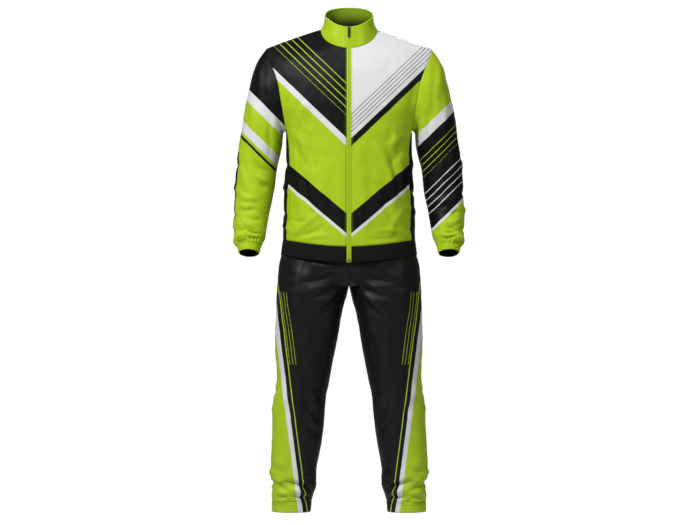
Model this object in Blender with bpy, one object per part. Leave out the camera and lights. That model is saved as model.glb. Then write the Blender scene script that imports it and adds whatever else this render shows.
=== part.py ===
# Tracksuit: a zipped jacket over straight trousers, hollow, as if worn.
# The front faces -Y and +Z is up. Zero is the middle of the neck, at the height of the shoulders.
# Names say the wearer's right, which is -X, and the wearer's left.

import math

import bpy
import numpy as np

# Lengths below are in millimetres and are turned into metres when a mesh is made.
METRES = 0.001
CLOTH = 1.6
RIB_CLOTH = 2.2
COLLAR_CLOTH = 2.4
SEAM_GAP = 0.3

# Rows and columns of the panels.
PANEL_STEPS = 7
SIDE_STEPS = 4
LOW_ROWS = 9
RING = 32
ARM_HALF = RING // 2
ARM_ROWS = ARM_HALF - SIDE_STEPS // 2
TOP_ROW = LOW_ROWS + ARM_ROWS
FRONT_NECK_ROW = 17
BACK_NECK_ROW = 18
LEG_ROWS = 30
CROTCH_ROW = 9
LEG_STEPS = 6

# Zip, neck and collar.
ZIP_HALF = 7.0
NECK_HALF = 86.0
NECK_Y = -6.0
NECK_FRONT = 80.0
NECK_BACK = 74.0
NECK_SIDE_Z = 4.6
NECK_FRONT_DROP = 55.6
NECK_BACK_RISE = 7.4
RIM_HALF = 73.0
RIM_Y = -9.0
RIM_FRONT = 69.0
RIM_BACK = 71.0
RIM_SIDE_Z = 44.0
RIM_SWING = 30.3

# Hem band, cuffs and waistband.
BAND_DEPTH_SIDE = 46.0
BAND_DEPTH_FRONT = 48.0
BAND_FLARE = 0.030
WAISTBAND_HEIGHT = 38.0
LEG_CUFF_HEIGHT = 32.0

# Slider and pull tab.
PLATE_CLOTH = 1.1
SLIDER_WIDTH = 9.0
SLIDER_HEIGHT = 10.0
SLIDER_DROP = 5.0
PIN_RADIUS = 0.8
PIN_PLAY = 0.3
EYE_WALL = 0.9
EYE_WIDTH = 4.0
EAR_WIDTH = 1.2
TAB_LENGTH = 29.0
TAB_WIDTH = 7.4
TAB_CLOTH = 1.6
BOX_WIDTH = 6.0
BOX_HEIGHT = 7.0
BOX_DEPTH = 2.0

# Pocket welts: panel rows and columns that they cover, wall and clearance.
WELT_ROWS = (1.76, 5.3)
WELT_COLUMNS = (6.35, 6.9)
WELT_CLOTH = 1.4
WELT_GAP = 0.45

# Centre front and centre back of the jacket: row, y, z.
CENTRE_FRONT = (
    (0, -139, -650),
    (4.5, -131, -475),
    (9, -129, -300),
    (12, -126, -218),
    (15, -111, -116),
    (17, -85.7, -51),
)
CENTRE_BACK = (
    (0, 138, -644),
    (4.5, 125, -475),
    (9, 123, -312),
    (12, 127, -205),
    (15, 113, -95),
    (18, 68, 12),
)

# Seam between front and side panel: row, x, y, z. The back seam has the same x and z.
SIDE_SEAM = (
    (0, 190, -44, -634),
    (3, 187, -43, -520),
    (6, 181.5, -41, -406),
    (7.5, 183, -41, -350),
    (9, 191, -39, -295),
)

# How far the side panel swells between its two seams: row, then outwards and backwards.
SIDE_SWELL = (
    (0, 44, 88),
    (6, 44, 84),
    (7.5, 34, 82),
    (9, 0, 80),
)

# How a row leaves the centre and how it arrives at its outer end: row, then both directions.
FRONT_FLOW = (
    (0, 285, -4, 6, 70, 150, 4),
    (9, 285, 0, 4, 60, 160, 0),
    (13, 265, 4, -8, 130, 120, -20),
    (17, 225, 10, -45, 150, 90, -50),
    (20, 178, 8, -56, 160, 55, -70),
    (23, 165, 8, -48, 160, 6, -62),
)
BACK_FLOW = (
    (0, 295, 4, 6, 70, -150, 4),
    (9, 295, 0, 4, 60, -160, 0),
    (13, 280, 2, -8, 130, -110, -20),
    (18, 190, 30, -80, 150, -60, -60),
    (20, 178, 14, -66, 160, -40, -70),
    (23, 165, 8, -48, 160, 6, -62),
)

# Armhole seam from the shoulder to the armpit: x, front y, back y, z.
ARMHOLE = (
    (250, 4, 4, -51),
    (251, -16, 24, -56),
    (246, -38, 47, -78),
    (233, -58, 69, -108),
    (217, -73, 84, -152),
    (207, -77, 88, -207),
    (198, -66, 76, -258),
    (191.5, -41, 45, -293),
    (191, 0, 4, -302),
)

# Sleeve sections: outer x and z, inner x and z, middle y, half depth, forward pitch in degrees.
SLEEVE = (
    (285, -108, 199, -308, 4, 81, 0),
    (304, -180, 201, -318, 6, 79, 0),
    (320, -258, 202.5, -334, 8, 77, 0),
    (333, -342, 205.5, -358, 9, 73, 2),
    (343, -415, 221, -420, 9, 68, 6),
    (347, -488, 230, -491, 2, 63, 13),
    (351, -561, 246, -564, -12, 57, 20),
    (348.5, -616, 254, -621, -33, 49, 23),
    (349, -638, 263, -640, -43, 43, 24),
    (337, -652, 269, -654, -48, 35, 24),
)
SLEEVE_STOPS = (0, 0.5, 1.1, 1.8, 2.6, 3.4, 4.1, 4.8, 5.5, 6.1, 6.7, 7.3, 7.9, 8.5, 9.0, 9.5, 10)
CUFF = ((335.5, -663, 270.5, -665, -53, 33.5, 24), (333.5, -671, 272.5, -673, -57, 31.5, 24))
GATHER_RING = ((7.9, 0.5), (8.5, 1.5), (9.0, 2.0), (9.5, 1.6))

# Trouser seams, as row, x, y, z: the outseam, and the inseam from the crotch down.
OUTSEAM = (
    (0, 178, 0, -640),
    (2, 203.0, 1, -676),
    (4, 212, 2, -706),
    (6, 216, 3, -735),
    (7.5, 218, 3, -754),
    (9, 219.5, 4, -775),
    (10.5, 222, 4, -833),
    (12, 224, 3, -896),
    (14, 223.5, 2, -980),
    (16, 220.5, 1, -1064),
    (17, 228, 0, -1106),
    (18, 231, 0, -1148),
    (20, 235, 2, -1232),
    (22, 239, 6, -1316),
    (25, 239, 7, -1362),
    (27, 231.5, 7, -1387),
    (28.5, 236, 8, -1410),
    (30, 234, 8, -1432),
)
INSEAM = (
    (9, 0, -6, -773),
    (10, 9, 0, -812),
    (11, 20, 3, -853),
    (12, 29, 3, -896),
    (14, 44, 2, -980),
    (16, 61, 1, -1064),
    (17, 69, 1, -1106),
    (18, 73, 0, -1148),
    (20, 82, 2, -1232),
    (22, 97, 6, -1316),
    (25, 99, 7, -1362),
    (27, 101, 7, -1387),
    (28.5, 110, 8, -1410),
    (30, 116, 8, -1432),
)

# Centre seams from the waist to the crotch: row, y, z.
FRONT_RISE = (
    (0, -122, -646),
    (2, -130, -690),
    (4, -130, -722),
    (6, -108, -750),
    (7.5, -58, -767),
    (9, -6, -773),
)
BACK_RISE = (
    (0, 118, -640),
    (2, 132, -684),
    (4, 138, -716),
    (6, 120, -748),
    (7.5, 64, -767),
    (9, -6, -773),
)

# How far a trouser row swings out of the outseam, and how it arrives inside: row, y, then x, y, z.
FRONT_SWING = (
    (0, 200, -290, 0, 0),
    (2, 225, -315, 0, 0),
    (4, 260, -305, 5, -5),
    (6, 330, -265, 50, -16),
    (7.5, 390, -240, 260, -16),
    (9, 380, -150, 540, -8),
    (10, 405, -70, 490, 0),
    (11, 415, -24, 440, 0),
    (12, 400, 0, 400, 0),
    (14, 362, 0, 362, 0),
    (16, 330, 0, 330, 0),
    (18, 308, 0, 308, 0),
    (20, 290, 0, 290, 0),
    (22, 272, 0, 272, 0),
    (25, 264, 0, 264, 0),
    (27, 244, 0, 244, 0),
    (28.5, 256, 0, 256, 0),
    (30, 236, 0, 236, 0),
)
BACK_SWING = (
    (0, 200, -290, 0, 0),
    (2, 204, -315, 0, 0),
    (4, 252, -310, 0, -5),
    (6, 360, -280, 60, -16),
    (7.5, 440, -255, 300, -16),
    (9, 430, -150, 620, -8),
    (10, 470, -70, 560, 0),
    (11, 470, -24, 500, 0),
    (12, 455, 0, 455, 0),
    (14, 400, 0, 400, 0),
    (16, 356, 0, 356, 0),
    (18, 332, 0, 332, 0),
    (20, 310, 0, 310, 0),
    (22, 284, 0, 284, 0),
    (25, 268, 0, 268, 0),
    (27, 248, 0, 248, 0),
    (28.5, 258, 0, 258, 0),
    (30, 238, 0, 238, 0),
)

# Folds: the way it faces, both ends as seen from there, half width, height out of the cloth.
FOLDS = (
    ("front", 196, -292, 118, -352, 13, 3.5),
    ("front", 190, -318, 128, -402, 12, -2.5),
    ("front", 206, -128, 184, -262, 13, -3.0),
    ("front", 176, -556, 92, -604, 14, 4.5),
    ("front", 180, -610, 60, -622, 11, 3.5),
    ("front", 262, -96, 252, -262, 12, -3.5),
    ("front", 300, -190, 286, -330, 13, 3.5),
    ("front", 222, -212, 228, -352, 12, 3.5),
    ("front", 206, -352, 292, -400, 13, 4.0),
    ("front", 330, -430, 246, -462, 12, -3.5),
    ("front", 344, -516, 262, -548, 11, 4.5),
    ("front", 346, -552, 274, -572, 9, -4.0),
    ("front", 350, -580, 258, -604, 10, 5.0),
    ("front", 346, -618, 282, -622, 8, -3.5),
    ("back", 196, -292, 110, -342, 13, 3.5),
    ("back", 206, -128, 182, -252, 13, -3.0),
    ("back", 150, -575, 40, -612, 14, 4.5),
    ("back", 120, -200, 70, -330, 18, 3.0),
    ("back", 300, -190, 282, -340, 13, 3.5),
    ("back", 330, -400, 240, -440, 12, 4.0),
    ("back", 346, -500, 262, -530, 11, 4.5),
    ("back", 348, -566, 262, -590, 10, 5.0),
    ("front", 14, -764, 118, -716, 11, 4.5),
    ("front", 14, -788, 132, -800, 11, -4.0),
    ("front", 22, -812, 118, -880, 12, 4.5),
    ("front", 40, -866, 96, -968, 13, -3.5),
    ("front", 70, -1092, 162, -1062, 13, 4.0),
    ("front", 74, -1140, 168, -1128, 12, -4.0),
    ("front", 78, -1186, 160, -1196, 13, 4.0),
    ("front", 236, -1330, 140, -1346, 10, 4.5),
    ("front", 232, -1366, 108, -1362, 8, -5.5),
    ("front", 230, -1386, 112, -1392, 8, 4.0),
    ("front", 232, -1410, 116, -1406, 7, -5.0),
    ("back", 20, -800, 130, -786, 12, 4.5),
    ("back", 30, -842, 140, -872, 13, -4.0),
    ("back", 80, -1112, 180, -1100, 13, -4.5),
    ("back", 78, -1150, 176, -1156, 13, 4.5),
    ("back", 236, -1338, 130, -1352, 10, 4.5),
    ("back", 232, -1372, 108, -1366, 8, -5.0),
    ("back", 232, -1404, 116, -1408, 7, -4.5),
)

# Surface colours, one knit or part to a name: red, green, blue, roughness, metal.
FINISHES = {
    "lime_knit": (0.37, 0.58, 0.03, 0.8, 0.0),
    "black_knit": (0.012, 0.012, 0.012, 0.8, 0.0),
    "dark_knit": (0.02, 0.022, 0.02, 0.8, 0.0),
    "zip_tape": (0.33, 0.53, 0.03, 0.6, 0.0),
    "slider_metal": (0.35, 0.36, 0.33, 0.35, 1.0),
    "pull_rubber": (0.02, 0.02, 0.02, 0.5, 0.0),
}


def smooth(table, at):
    """Reads a table whose first column is the place, with a curve through its rows."""
    rows = np.array(table, dtype=float)
    knots = rows[:, 0]
    values = rows[:, 1:]
    slopes = np.gradient(values, knots, axis=0)
    at = np.atleast_1d(np.asarray(at, dtype=float))
    k = np.clip(np.searchsorted(knots, at, side="right") - 1, 0, len(knots) - 2)
    span = (knots[k + 1] - knots[k])[:, None]
    s = (at[:, None] - knots[k][:, None]) / span
    start = (2 * s**3 - 3 * s**2 + 1) * values[k] + (s**3 - 2 * s**2 + s) * span * slopes[k]
    end = (3 * s**2 - 2 * s**3) * values[k + 1] + (s**3 - s**2) * span * slopes[k + 1]
    return start + end


def sweep(start, leave, end, arrive, steps):
    """One row of cloth from start to end, leaving and arriving in the given directions."""
    s = np.linspace(0.0, 1.0, steps + 1)[None, :, None]
    a = (2 * s**3 - 3 * s**2 + 1) * start[:, None, :]
    b = (s**3 - 2 * s**2 + s) * leave[:, None, :]
    c = (3 * s**2 - 2 * s**3) * end[:, None, :]
    d = (s**3 - s**2) * arrive[:, None, :]
    return a + b + c + d


def even(points, count):
    """Count + 1 points at equal steps along a curve through the given points."""
    reach = np.concatenate([[0.0], np.cumsum(np.linalg.norm(np.diff(points, axis=0), axis=1))])
    table = np.column_stack([reach, points])
    fine = smooth(table, np.linspace(0.0, reach[-1], 400))
    run = np.concatenate([[0.0], np.cumsum(np.linalg.norm(np.diff(fine, axis=0), axis=1))])
    marks = np.linspace(0.0, run[-1], count + 1)
    return np.column_stack([np.interp(marks, run, fine[:, axis]) for axis in range(3)])


def armhole_loop():
    """The left armhole: front from shoulder to armpit, then up the back."""
    rows = np.array(ARMHOLE, dtype=float)
    front = even(rows[:, [0, 1, 3]], ARM_HALF)
    back = even(rows[:, [0, 2, 3]], ARM_HALF)
    back[0] = front[0]
    low = (front[-1] + back[-1]) / 2
    front[-1] = low
    back[-1] = low
    return np.vstack([front[:-1], back[::-1][:-1]])


def neck_point(turn):
    """Point of the neck seam: turn is 0 at the front, 90 at the side and 180 at the back."""
    angle = np.radians(turn)
    cos = np.cos(angle)
    depth = np.where(cos > 0, NECK_FRONT, NECK_BACK)
    drop = np.where(cos > 0, NECK_FRONT_DROP, NECK_BACK_RISE)
    x = NECK_HALF * np.sin(angle)
    return np.column_stack([x, NECK_Y - depth * cos, NECK_SIDE_Z - drop * cos])


def rim_point(turn):
    """Point of the collar's top edge above the neck point of the same turn."""
    angle = np.radians(turn)
    cos = np.cos(angle)
    start = ZIP_HALF / NECK_HALF
    share = np.clip((np.sin(angle) - start) / (1 - start), 0, 1)
    front_x = ZIP_HALF + (RIM_HALF - ZIP_HALF) * share
    back_x = RIM_HALF * np.clip(np.sin(angle), 0, 1) ** 0.85
    x = np.where(cos > 0, front_x, back_x)
    y = RIM_Y - np.where(cos > 0, RIM_FRONT, RIM_BACK) * cos
    z = RIM_SIDE_Z - RIM_SWING * np.sign(cos) * np.abs(cos) ** np.where(cos > 0, 1.0, 0.7)
    return np.column_stack([x, y, z])


FRONT_TURN = math.degrees(math.asin(ZIP_HALF / NECK_HALF))


def centre_line(table, last_row, first_turn, last_turn, x):
    """Inner edge of a half: up the centre to the neck, then along the neck to the shoulder."""
    rows = np.arange(0, last_row + 1)
    profile = smooth(table, rows)
    rise = np.column_stack([np.full(len(rows), x), profile])
    turns = np.linspace(first_turn, last_turn, TOP_ROW - last_row + 1)
    neck = neck_point(turns)
    rise[-1] = neck[0]
    return np.vstack([rise, neck[1:]])


def torso_half(side):
    """Left half of the front or the back as rows of points from the centre outwards."""
    loop = armhole_loop()
    rows = np.arange(0, TOP_ROW + 1)
    seam = smooth(SIDE_SEAM, np.arange(0, LOW_ROWS + 1))
    if side == "front":
        inner = centre_line(CENTRE_FRONT, FRONT_NECK_ROW, FRONT_TURN, 90.0, ZIP_HALF)
        upper = loop[: ARM_ROWS + 1][::-1]
        flow = smooth(FRONT_FLOW, rows)
    else:
        inner = centre_line(CENTRE_BACK, BACK_NECK_ROW, 180.0, 90.0, 0.0)
        seam = seam * np.array([1, -1, 1])
        upper = np.vstack([loop[RING - ARM_ROWS:], loop[:1]])
        flow = smooth(BACK_FLOW, rows)
    outer = np.vstack([seam[:-1], upper])
    return sweep(inner, flow[:, :3], outer, flow[:, 3:], PANEL_STEPS)


def side_rows(front, back):
    """Left side panel between the outer edges of front and back, up to the armpit."""
    start = front[: LOW_ROWS + 1, -1]
    end = back[: LOW_ROWS + 1, -1]
    swell = np.zeros((LOW_ROWS + 1, 3))
    swell[:, :2] = smooth(SIDE_SWELL, np.arange(0, LOW_ROWS + 1))
    rows = sweep(start, swell, end, swell * np.array([-1, 1, 1]), SIDE_STEPS)
    middle = ARM_HALF - SIDE_STEPS // 2
    rows[-1] = armhole_loop()[middle: middle + SIDE_STEPS + 1]
    return rows


def sleeve_ring(section):
    """Points round one sleeve section, from its outer side by the front."""
    outer_x, outer_z, inner_x, inner_z, y, depth, pitch = section
    centre = np.array([(outer_x + inner_x) / 2, y, (outer_z + inner_z) / 2])
    across = np.array([outer_x - inner_x, 0.0, outer_z - inner_z]) / 2
    tilt = math.radians(pitch)
    forward = np.array([0.0, -math.cos(tilt), math.sin(tilt)]) * depth
    turn = np.linspace(0, 2 * math.pi, RING, endpoint=False)[:, None]
    return centre + np.cos(turn) * across + np.sin(turn) * forward


def sleeve_rows():
    """Left sleeve from the armhole to the cuff seam."""
    rings = np.array([armhole_loop()] + [sleeve_ring(row) for row in SLEEVE])
    table = np.column_stack([np.arange(len(rings)), rings.reshape(len(rings), -1)])
    return smooth(table, SLEEVE_STOPS).reshape(len(SLEEVE_STOPS), RING, 3)


def gather_sleeve(rows):
    """Small pleats where the sleeve is gathered into its cuff."""
    result = rows.copy()
    sign = np.where(np.arange(RING) % 2 == 0, 1.0, -1.0)[:, None]
    for stop, height in GATHER_RING:
        k = SLEEVE_STOPS.index(stop)
        spoke = rows[k] - rows[k].mean(axis=0)
        spoke = spoke / np.linalg.norm(spoke, axis=1)[:, None]
        result[k] = rows[k] + spoke * sign * height
    return result


def trouser_half(side):
    """Left front or back of the trousers, each row from the outseam inwards."""
    sign, rise, swing = (-1.0, FRONT_RISE, FRONT_SWING)
    if side == "back":
        sign, rise, swing = (1.0, BACK_RISE, BACK_SWING)
    upper = smooth(rise, np.arange(0, CROTCH_ROW))
    centre = np.column_stack([np.zeros(len(upper)), upper])
    inner = np.vstack([centre, smooth(INSEAM, np.arange(CROTCH_ROW, LEG_ROWS + 1))])
    rows = np.arange(0, LEG_ROWS + 1)
    flow = smooth(swing, rows)
    leave = np.zeros((len(rows), 3))
    leave[:, 1] = sign * flow[:, 0]
    arrive = flow[:, 1:] * np.array([1, -sign, 1])
    return sweep(smooth(OUTSEAM, rows), leave, inner, arrive, LEG_STEPS)


def ring_below(ring, drop_side, drop_front, flare, steps, lean=0.0):
    """Rows under a ring of seam points, each a little lower and wider."""
    rows = [ring]
    for k in range(1, steps + 1):
        share = k / steps
        front = np.clip(-ring[:, 1] / 140.0, 0, 1)
        drop = drop_side + (drop_front - drop_side) * front
        lower = ring.copy()
        lower[:, 0] = ring[:, 0] * (1 + flare * share * np.minimum(np.abs(ring[:, 0]) / 120, 1))
        lower[:, 1] = ring[:, 1] * (1 + 0.6 * flare * share) + lean * share
        lower[:, 2] = ring[:, 2] - drop * share
        rows.append(lower)
    return np.array(rows)


class Sheet:
    """A sheet of cloth: points and four-cornered cells, whose outside faces outwards."""

    def __init__(self, name, finish, thick=CLOTH):
        self.name = name
        self.finish = finish
        self.thick = thick
        self.points = []
        self.cells = []
        self.index = {}

    def add(self, point):
        key = tuple(np.round(point, 3))
        if key not in self.index:
            self.index[key] = len(self.points)
            self.points.append(np.array(point, dtype=float))
        return self.index[key]

    def grid(self, rows, closed=False, mirror=False):
        """Adds rows of points; cells face left of the way up when columns run left to right."""
        flip = np.array([-1.0, 1.0, 1.0]) if mirror else np.ones(3)
        ids = [[self.add(point * flip) for point in row] for row in rows]
        width = len(ids[0])
        last = width if closed else width - 1
        for low, high in zip(ids[:-1], ids[1:]):
            for k in range(last):
                n = (k + 1) % width
                cell = [low[n], high[n], high[k], low[k]]
                if mirror:
                    cell = [cell[0], cell[3], cell[2], cell[1]]
                self.cells.append(cell)
        return self

    def turn_over(self):
        self.cells = [[a, d, c, b] for a, b, c, d in self.cells]
        return self

    def normals(self):
        points = np.array(self.points)
        total = np.zeros_like(points)
        for cell in self.cells:
            a, b, c, d = points[cell]
            area = np.cross(c - a, d - b)
            for k in cell:
                total[k] += area
        return total

    def edges(self):
        """Free edges, in the order in which their cell goes round."""
        seen = set()
        for cell in self.cells:
            for k in range(4):
                seen.add((cell[k], cell[(k + 1) % 4]))
        return [pair for pair in seen if (pair[1], pair[0]) not in seen]


def unit(rows):
    length = np.linalg.norm(rows, axis=1)[:, None]
    return rows / np.maximum(length, 1e-9)


def share_normals(sheets):
    """Normals of every sheet, the same where two sheets meet."""
    total = {}
    own = []
    for sheet in sheets:
        rows = unit(sheet.normals())
        own.append(rows)
        for point, row in zip(sheet.points, rows):
            key = tuple(np.round(point, 2))
            total[key] = total.get(key, np.zeros(3)) + row
    result = []
    for sheet, rows in zip(sheets, own):
        joined = [total[tuple(np.round(point, 2))] for point in sheet.points]
        result.append(unit(np.array(joined)))
    return result


def fold_heights(points, normals):
    """How far each point moves out of the cloth for the folds, both halves alike."""
    height = np.zeros(len(points))
    for view, x0, z0, x1, z1, width, rise in FOLDS:
        sign = -1.0 if view == "front" else 1.0
        facing = np.clip(sign * normals[:, 1] * 2.2 - 0.8, 0, 1)
        along = np.array([x1 - x0, z1 - z0], dtype=float)
        length = np.linalg.norm(along)
        place = np.column_stack([np.abs(points[:, 0]) - x0, points[:, 2] - z0])
        share = np.clip(place @ along / length**2, 0, 1)
        away = np.linalg.norm(place - share[:, None] * along, axis=1)
        taper = 0.35 + 0.65 * np.sin(math.pi * share)
        height += rise * taper * facing * np.exp(-((away / width) ** 2))
    return height


def fold(sheets, still):
    """Lays the folds into the sheets, apart from the pieces that lie flat."""
    normals = share_normals(sheets)
    for sheet, rows in zip(sheets, normals):
        if sheet.name in still:
            continue
        points = np.array(sheet.points)
        sheet.points = list(points + rows * fold_heights(points, rows)[:, None])


def draw_in(sheet, normals, gap):
    """How each edge point moves along the cloth so that a seam keeps its gap."""
    points = np.array(sheet.points)
    pulls = {}
    for a, b in sheet.edges():
        way = points[b] - points[a]
        way = way / np.linalg.norm(way)
        for k in (a, b):
            inward = np.cross(normals[k], way)
            pulls.setdefault(k, []).append(inward / np.linalg.norm(inward))
    moved = np.zeros_like(points)
    for k, ways in pulls.items():
        if len(ways) == 1:
            moved[k] = ways[0] * gap
            continue
        total = ways[0] + ways[1]
        moved[k] = total * gap / max(0.4, 1 + float(ways[0] @ ways[1]))
    return moved


def make_object(name, finish, points, faces, smooth_shade=True):
    mesh = bpy.data.meshes.new(name)
    mesh.from_pydata([tuple(point * METRES) for point in points], [], faces)
    mesh.validate()
    obj = bpy.data.objects.new(name, mesh)
    bpy.context.scene.collection.objects.link(obj)
    mesh.materials.append(material(name, finish))
    for face in mesh.polygons:
        face.use_smooth = smooth_shade
    return obj


def material(name, finish):
    red, green, blue, rough, metal = FINISHES[finish]
    made = bpy.data.materials.new(name + "_" + finish)
    made.use_nodes = True
    shader = made.node_tree.nodes["Principled BSDF"]
    shader.inputs["Base Color"].default_value = (red, green, blue, 1.0)
    shader.inputs["Roughness"].default_value = rough
    shader.inputs["Metallic"].default_value = metal
    made.diffuse_color = (red, green, blue, 1.0)
    return made


def thicken(sheet, normals, lift=0.0):
    """A closed wall round the sheet, with its edges drawn in by half a seam gap."""
    points = np.array(sheet.points) + draw_in(sheet, normals, SEAM_GAP / 2)
    points = points + normals * lift
    outer = points + normals * sheet.thick / 2
    inner = points - normals * sheet.thick / 2
    count = len(points)
    faces = []
    for a, b, c, d in sheet.cells:
        if np.linalg.norm(points[b] - points[d]) < np.linalg.norm(points[a] - points[c]) - 0.01:
            a, b, c, d = b, c, d, a
        faces.append((a, b, c))
        faces.append((a, c, d))
        faces.append((count + c, count + b, count + a))
        faces.append((count + d, count + c, count + a))
    for a, b in sheet.edges():
        faces.append((b, a, count + a))
        faces.append((b, count + a, count + b))
    return make_object(sheet.name, sheet.finish, np.vstack([outer, inner]), faces)


def jacket_sheets():
    """Every sewn sheet of the jacket, and the ring of points at its hem."""
    front = torso_half("front")
    back = torso_half("back")
    side = side_rows(front, back)
    sleeve = gather_sleeve(sleeve_rows())
    cuff_rings = [sleeve[-1]] + [sleeve_ring(row) for row in CUFF]
    sheets = []
    for word, mirror in (("left", False), ("right", True)):
        sheets.append(Sheet("front_" + word, "lime_knit").grid(front, mirror=mirror))
        sheets.append(Sheet("side_panel_" + word, "black_knit").grid(side, mirror=mirror))
        arm = Sheet("sleeve_" + word, "lime_knit").grid(sleeve, closed=True, mirror=mirror)
        sheets.append(arm)
        cuff = Sheet("cuff_" + word, "lime_knit", RIB_CLOTH)
        sheets.append(cuff.grid(cuff_rings, closed=True, mirror=mirror))
    whole = Sheet("back", "lime_knit").grid(back).grid(back, mirror=True)
    sheets.append(whole.turn_over())

    half = np.vstack([front[0, :-1], side[0, :-1], back[0, ::-1]])
    other = half[::-1][1:] * np.array([-1, 1, 1])
    hem = np.vstack([half, other])
    band = ring_below(hem, BAND_DEPTH_SIDE, BAND_DEPTH_FRONT, BAND_FLARE, 2)
    sheets.append(Sheet("hem_band", "black_knit", RIB_CLOTH).grid(band).turn_over())

    front_turns = np.linspace(FRONT_TURN, 90.0, TOP_ROW - FRONT_NECK_ROW + 1)
    back_turns = np.linspace(90.0, 180.0, TOP_ROW - BACK_NECK_ROW + 1)
    turns = np.concatenate([front_turns, back_turns[1:]])
    base = neck_point(turns)
    rim = rim_point(turns)
    base = np.vstack([base, base[::-1][1:] * np.array([-1, 1, 1])])
    rim = np.vstack([rim, rim[::-1][1:] * np.array([-1, 1, 1])])
    rows = []
    for rise in (0.0, 0.2, 0.45, 0.72, 0.93, 1.0):
        row = base + (rim - base) * rise
        spread = (1 - rise) ** 2.4 * (base[:, 0] - rim[:, 0])
        row[:, 0] = rim[:, 0] + spread
        rows.append(row)
    collar = np.array(rows)
    sheets.append(Sheet("collar", "lime_knit", COLLAR_CLOTH).grid(collar))

    edge = np.vstack([band[::-1][:, 0], front[1: FRONT_NECK_ROW + 1, 0], collar[1:, 0]])
    middle = edge * np.array([0, 1, 1])
    tape = np.stack([middle, edge], axis=1)
    for word, mirror in (("left", False), ("right", True)):
        sheets.append(Sheet("zip_tape_" + word, "zip_tape").grid(tape, mirror=mirror))
    return sheets


def trouser_sheets():
    """Every sewn sheet of the trousers."""
    front = trouser_half("front")
    back = trouser_half("back")
    sheets = []
    for word, mirror in (("left", False), ("right", True)):
        piece = Sheet("trouser_front_" + word, "dark_knit").grid(front, mirror=mirror)
        sheets.append(piece)
        piece = Sheet("trouser_back_" + word, "dark_knit").grid(back, mirror=mirror)
        sheets.append(piece.turn_over())
        ring = np.vstack([front[-1, :-1], back[-1, ::-1][:-1]])
        low = ring.copy()
        low[:, 2] -= LEG_CUFF_HEIGHT
        low[:, 0] += 1.5
        piece = Sheet("leg_cuff_" + word, "black_knit", RIB_CLOTH)
        rows = [ring, (ring + low) / 2, low]
        sheets.append(piece.grid(rows, closed=True, mirror=mirror))
    half = np.vstack([front[0, ::-1][:-1], back[0]])
    ring = np.vstack([half, half[::-1][1:-1] * np.array([-1, 1, 1])])
    rows = []
    for share in (0.0, 0.5, 1.0):
        row = ring.copy()
        row[:, 2] = ring[:, 2] + WAISTBAND_HEIGHT * share
        row[:, :2] *= 1 - 0.03 * share
        rows.append(row)
    band = Sheet("waistband", "black_knit", RIB_CLOTH)
    sheets.append(band.grid(rows, closed=True))
    return sheets


def face_outwards(sheet):
    """Turns a sheet over where its cells face the inside of the garment."""
    points = np.array(sheet.points)
    rows = sheet.normals()
    if sheet.name.startswith(("front", "trouser_front", "zip_tape", "pocket_welt")):
        score = -rows[:, 1].sum()
    elif sheet.name.startswith(("back", "trouser_back")):
        score = rows[:, 1].sum()
    elif sheet.name.startswith("side_panel"):
        score = (rows[:, 0] * np.sign(points[:, 0])).sum()
    else:
        level = np.round(points[:, 2] / 12)
        score = 0.0
        middle = points.mean(axis=0)
        for step in np.unique(level):
            chosen = level == step
            centre = middle if chosen.sum() < 8 else points[chosen].mean(axis=0)
            score += ((points[chosen] - centre)[:, :2] * rows[chosen][:, :2]).sum()
    if score < 0:
        sheet.turn_over()


def tube(parts, centre, radius, length, sides, inner=0.0):
    """Adds a bar along X to the parts, with a bore through it when inner is given."""
    points, faces = parts
    base = len(points)
    radii = (radius, inner) if inner else (radius,)
    for x in (-length / 2, length / 2):
        for size in radii:
            for k in range(sides):
                turn = 2 * math.pi * k / sides
                points.append(centre + np.array([x, size * math.cos(turn), size * math.sin(turn)]))
    ring = sides * len(radii)
    for k in range(sides):
        n = (k + 1) % sides
        faces.append((base + k, base + n, base + ring + n, base + ring + k))
        if inner:
            a = base + sides
            faces.append((a + n, a + k, a + ring + k, a + ring + n))
            faces.append((base + n, base + k, a + k, a + n))
            faces.append((base + ring + k, base + ring + n, a + ring + n, a + ring + k))
    if not inner:
        faces.append(tuple(base + k for k in range(sides))[::-1])
        faces.append(tuple(base + ring + k for k in range(sides)))


def outline_plate(outline, low, high):
    """A plate with the given outline in X and Z, between two depths in Y."""
    count = len(outline)
    points = [np.array([x, low, z]) for x, z in outline] + [np.array([x, high, z]) for x, z in outline]
    faces = [tuple(range(count)), tuple(range(2 * count - 1, count - 1, -1))]
    for k in range(count):
        n = (k + 1) % count
        faces.append((k, count + k, count + n, n))
    return points, faces


def rounded(width, top, bottom, corner, steps=4):
    """Outline of a plate with round corners, as x and z, turning right as seen from the front."""
    result = []
    for sx, z, start in ((1, top, 90), (1, bottom, 0), (-1, bottom, -90), (-1, top, 180)):
        inner_z = z - corner if z == top else z + corner
        for k in range(steps + 1):
            turn = math.radians(start - 90 * k / steps)
            x = sx * (width / 2 - corner) + corner * math.cos(turn)
            result.append((x, inner_z + corner * math.sin(turn)))
    return result[::-1]


def join(name, finish, pieces):
    """Unites closed pieces that overlap into one solid."""
    objects = []
    for k, (points, faces) in enumerate(pieces):
        objects.append(make_object(name if k == 0 else name + "_extra", finish, points, faces))
    whole = objects[0]
    bpy.context.view_layer.objects.active = whole
    for other in objects[1:]:
        weld = whole.modifiers.new("weld", "BOOLEAN")
        weld.operation = "UNION"
        weld.solver = "EXACT"
        weld.object = other
        bpy.context.view_layer.update()
        shape = whole.evaluated_get(bpy.context.evaluated_depsgraph_get())
        mesh = bpy.data.meshes.new_from_object(shape)
        whole.modifiers.clear()
        whole.data = mesh
        bpy.data.objects.remove(other, do_unlink=True)
    whole.data.name = name
    return whole


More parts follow.
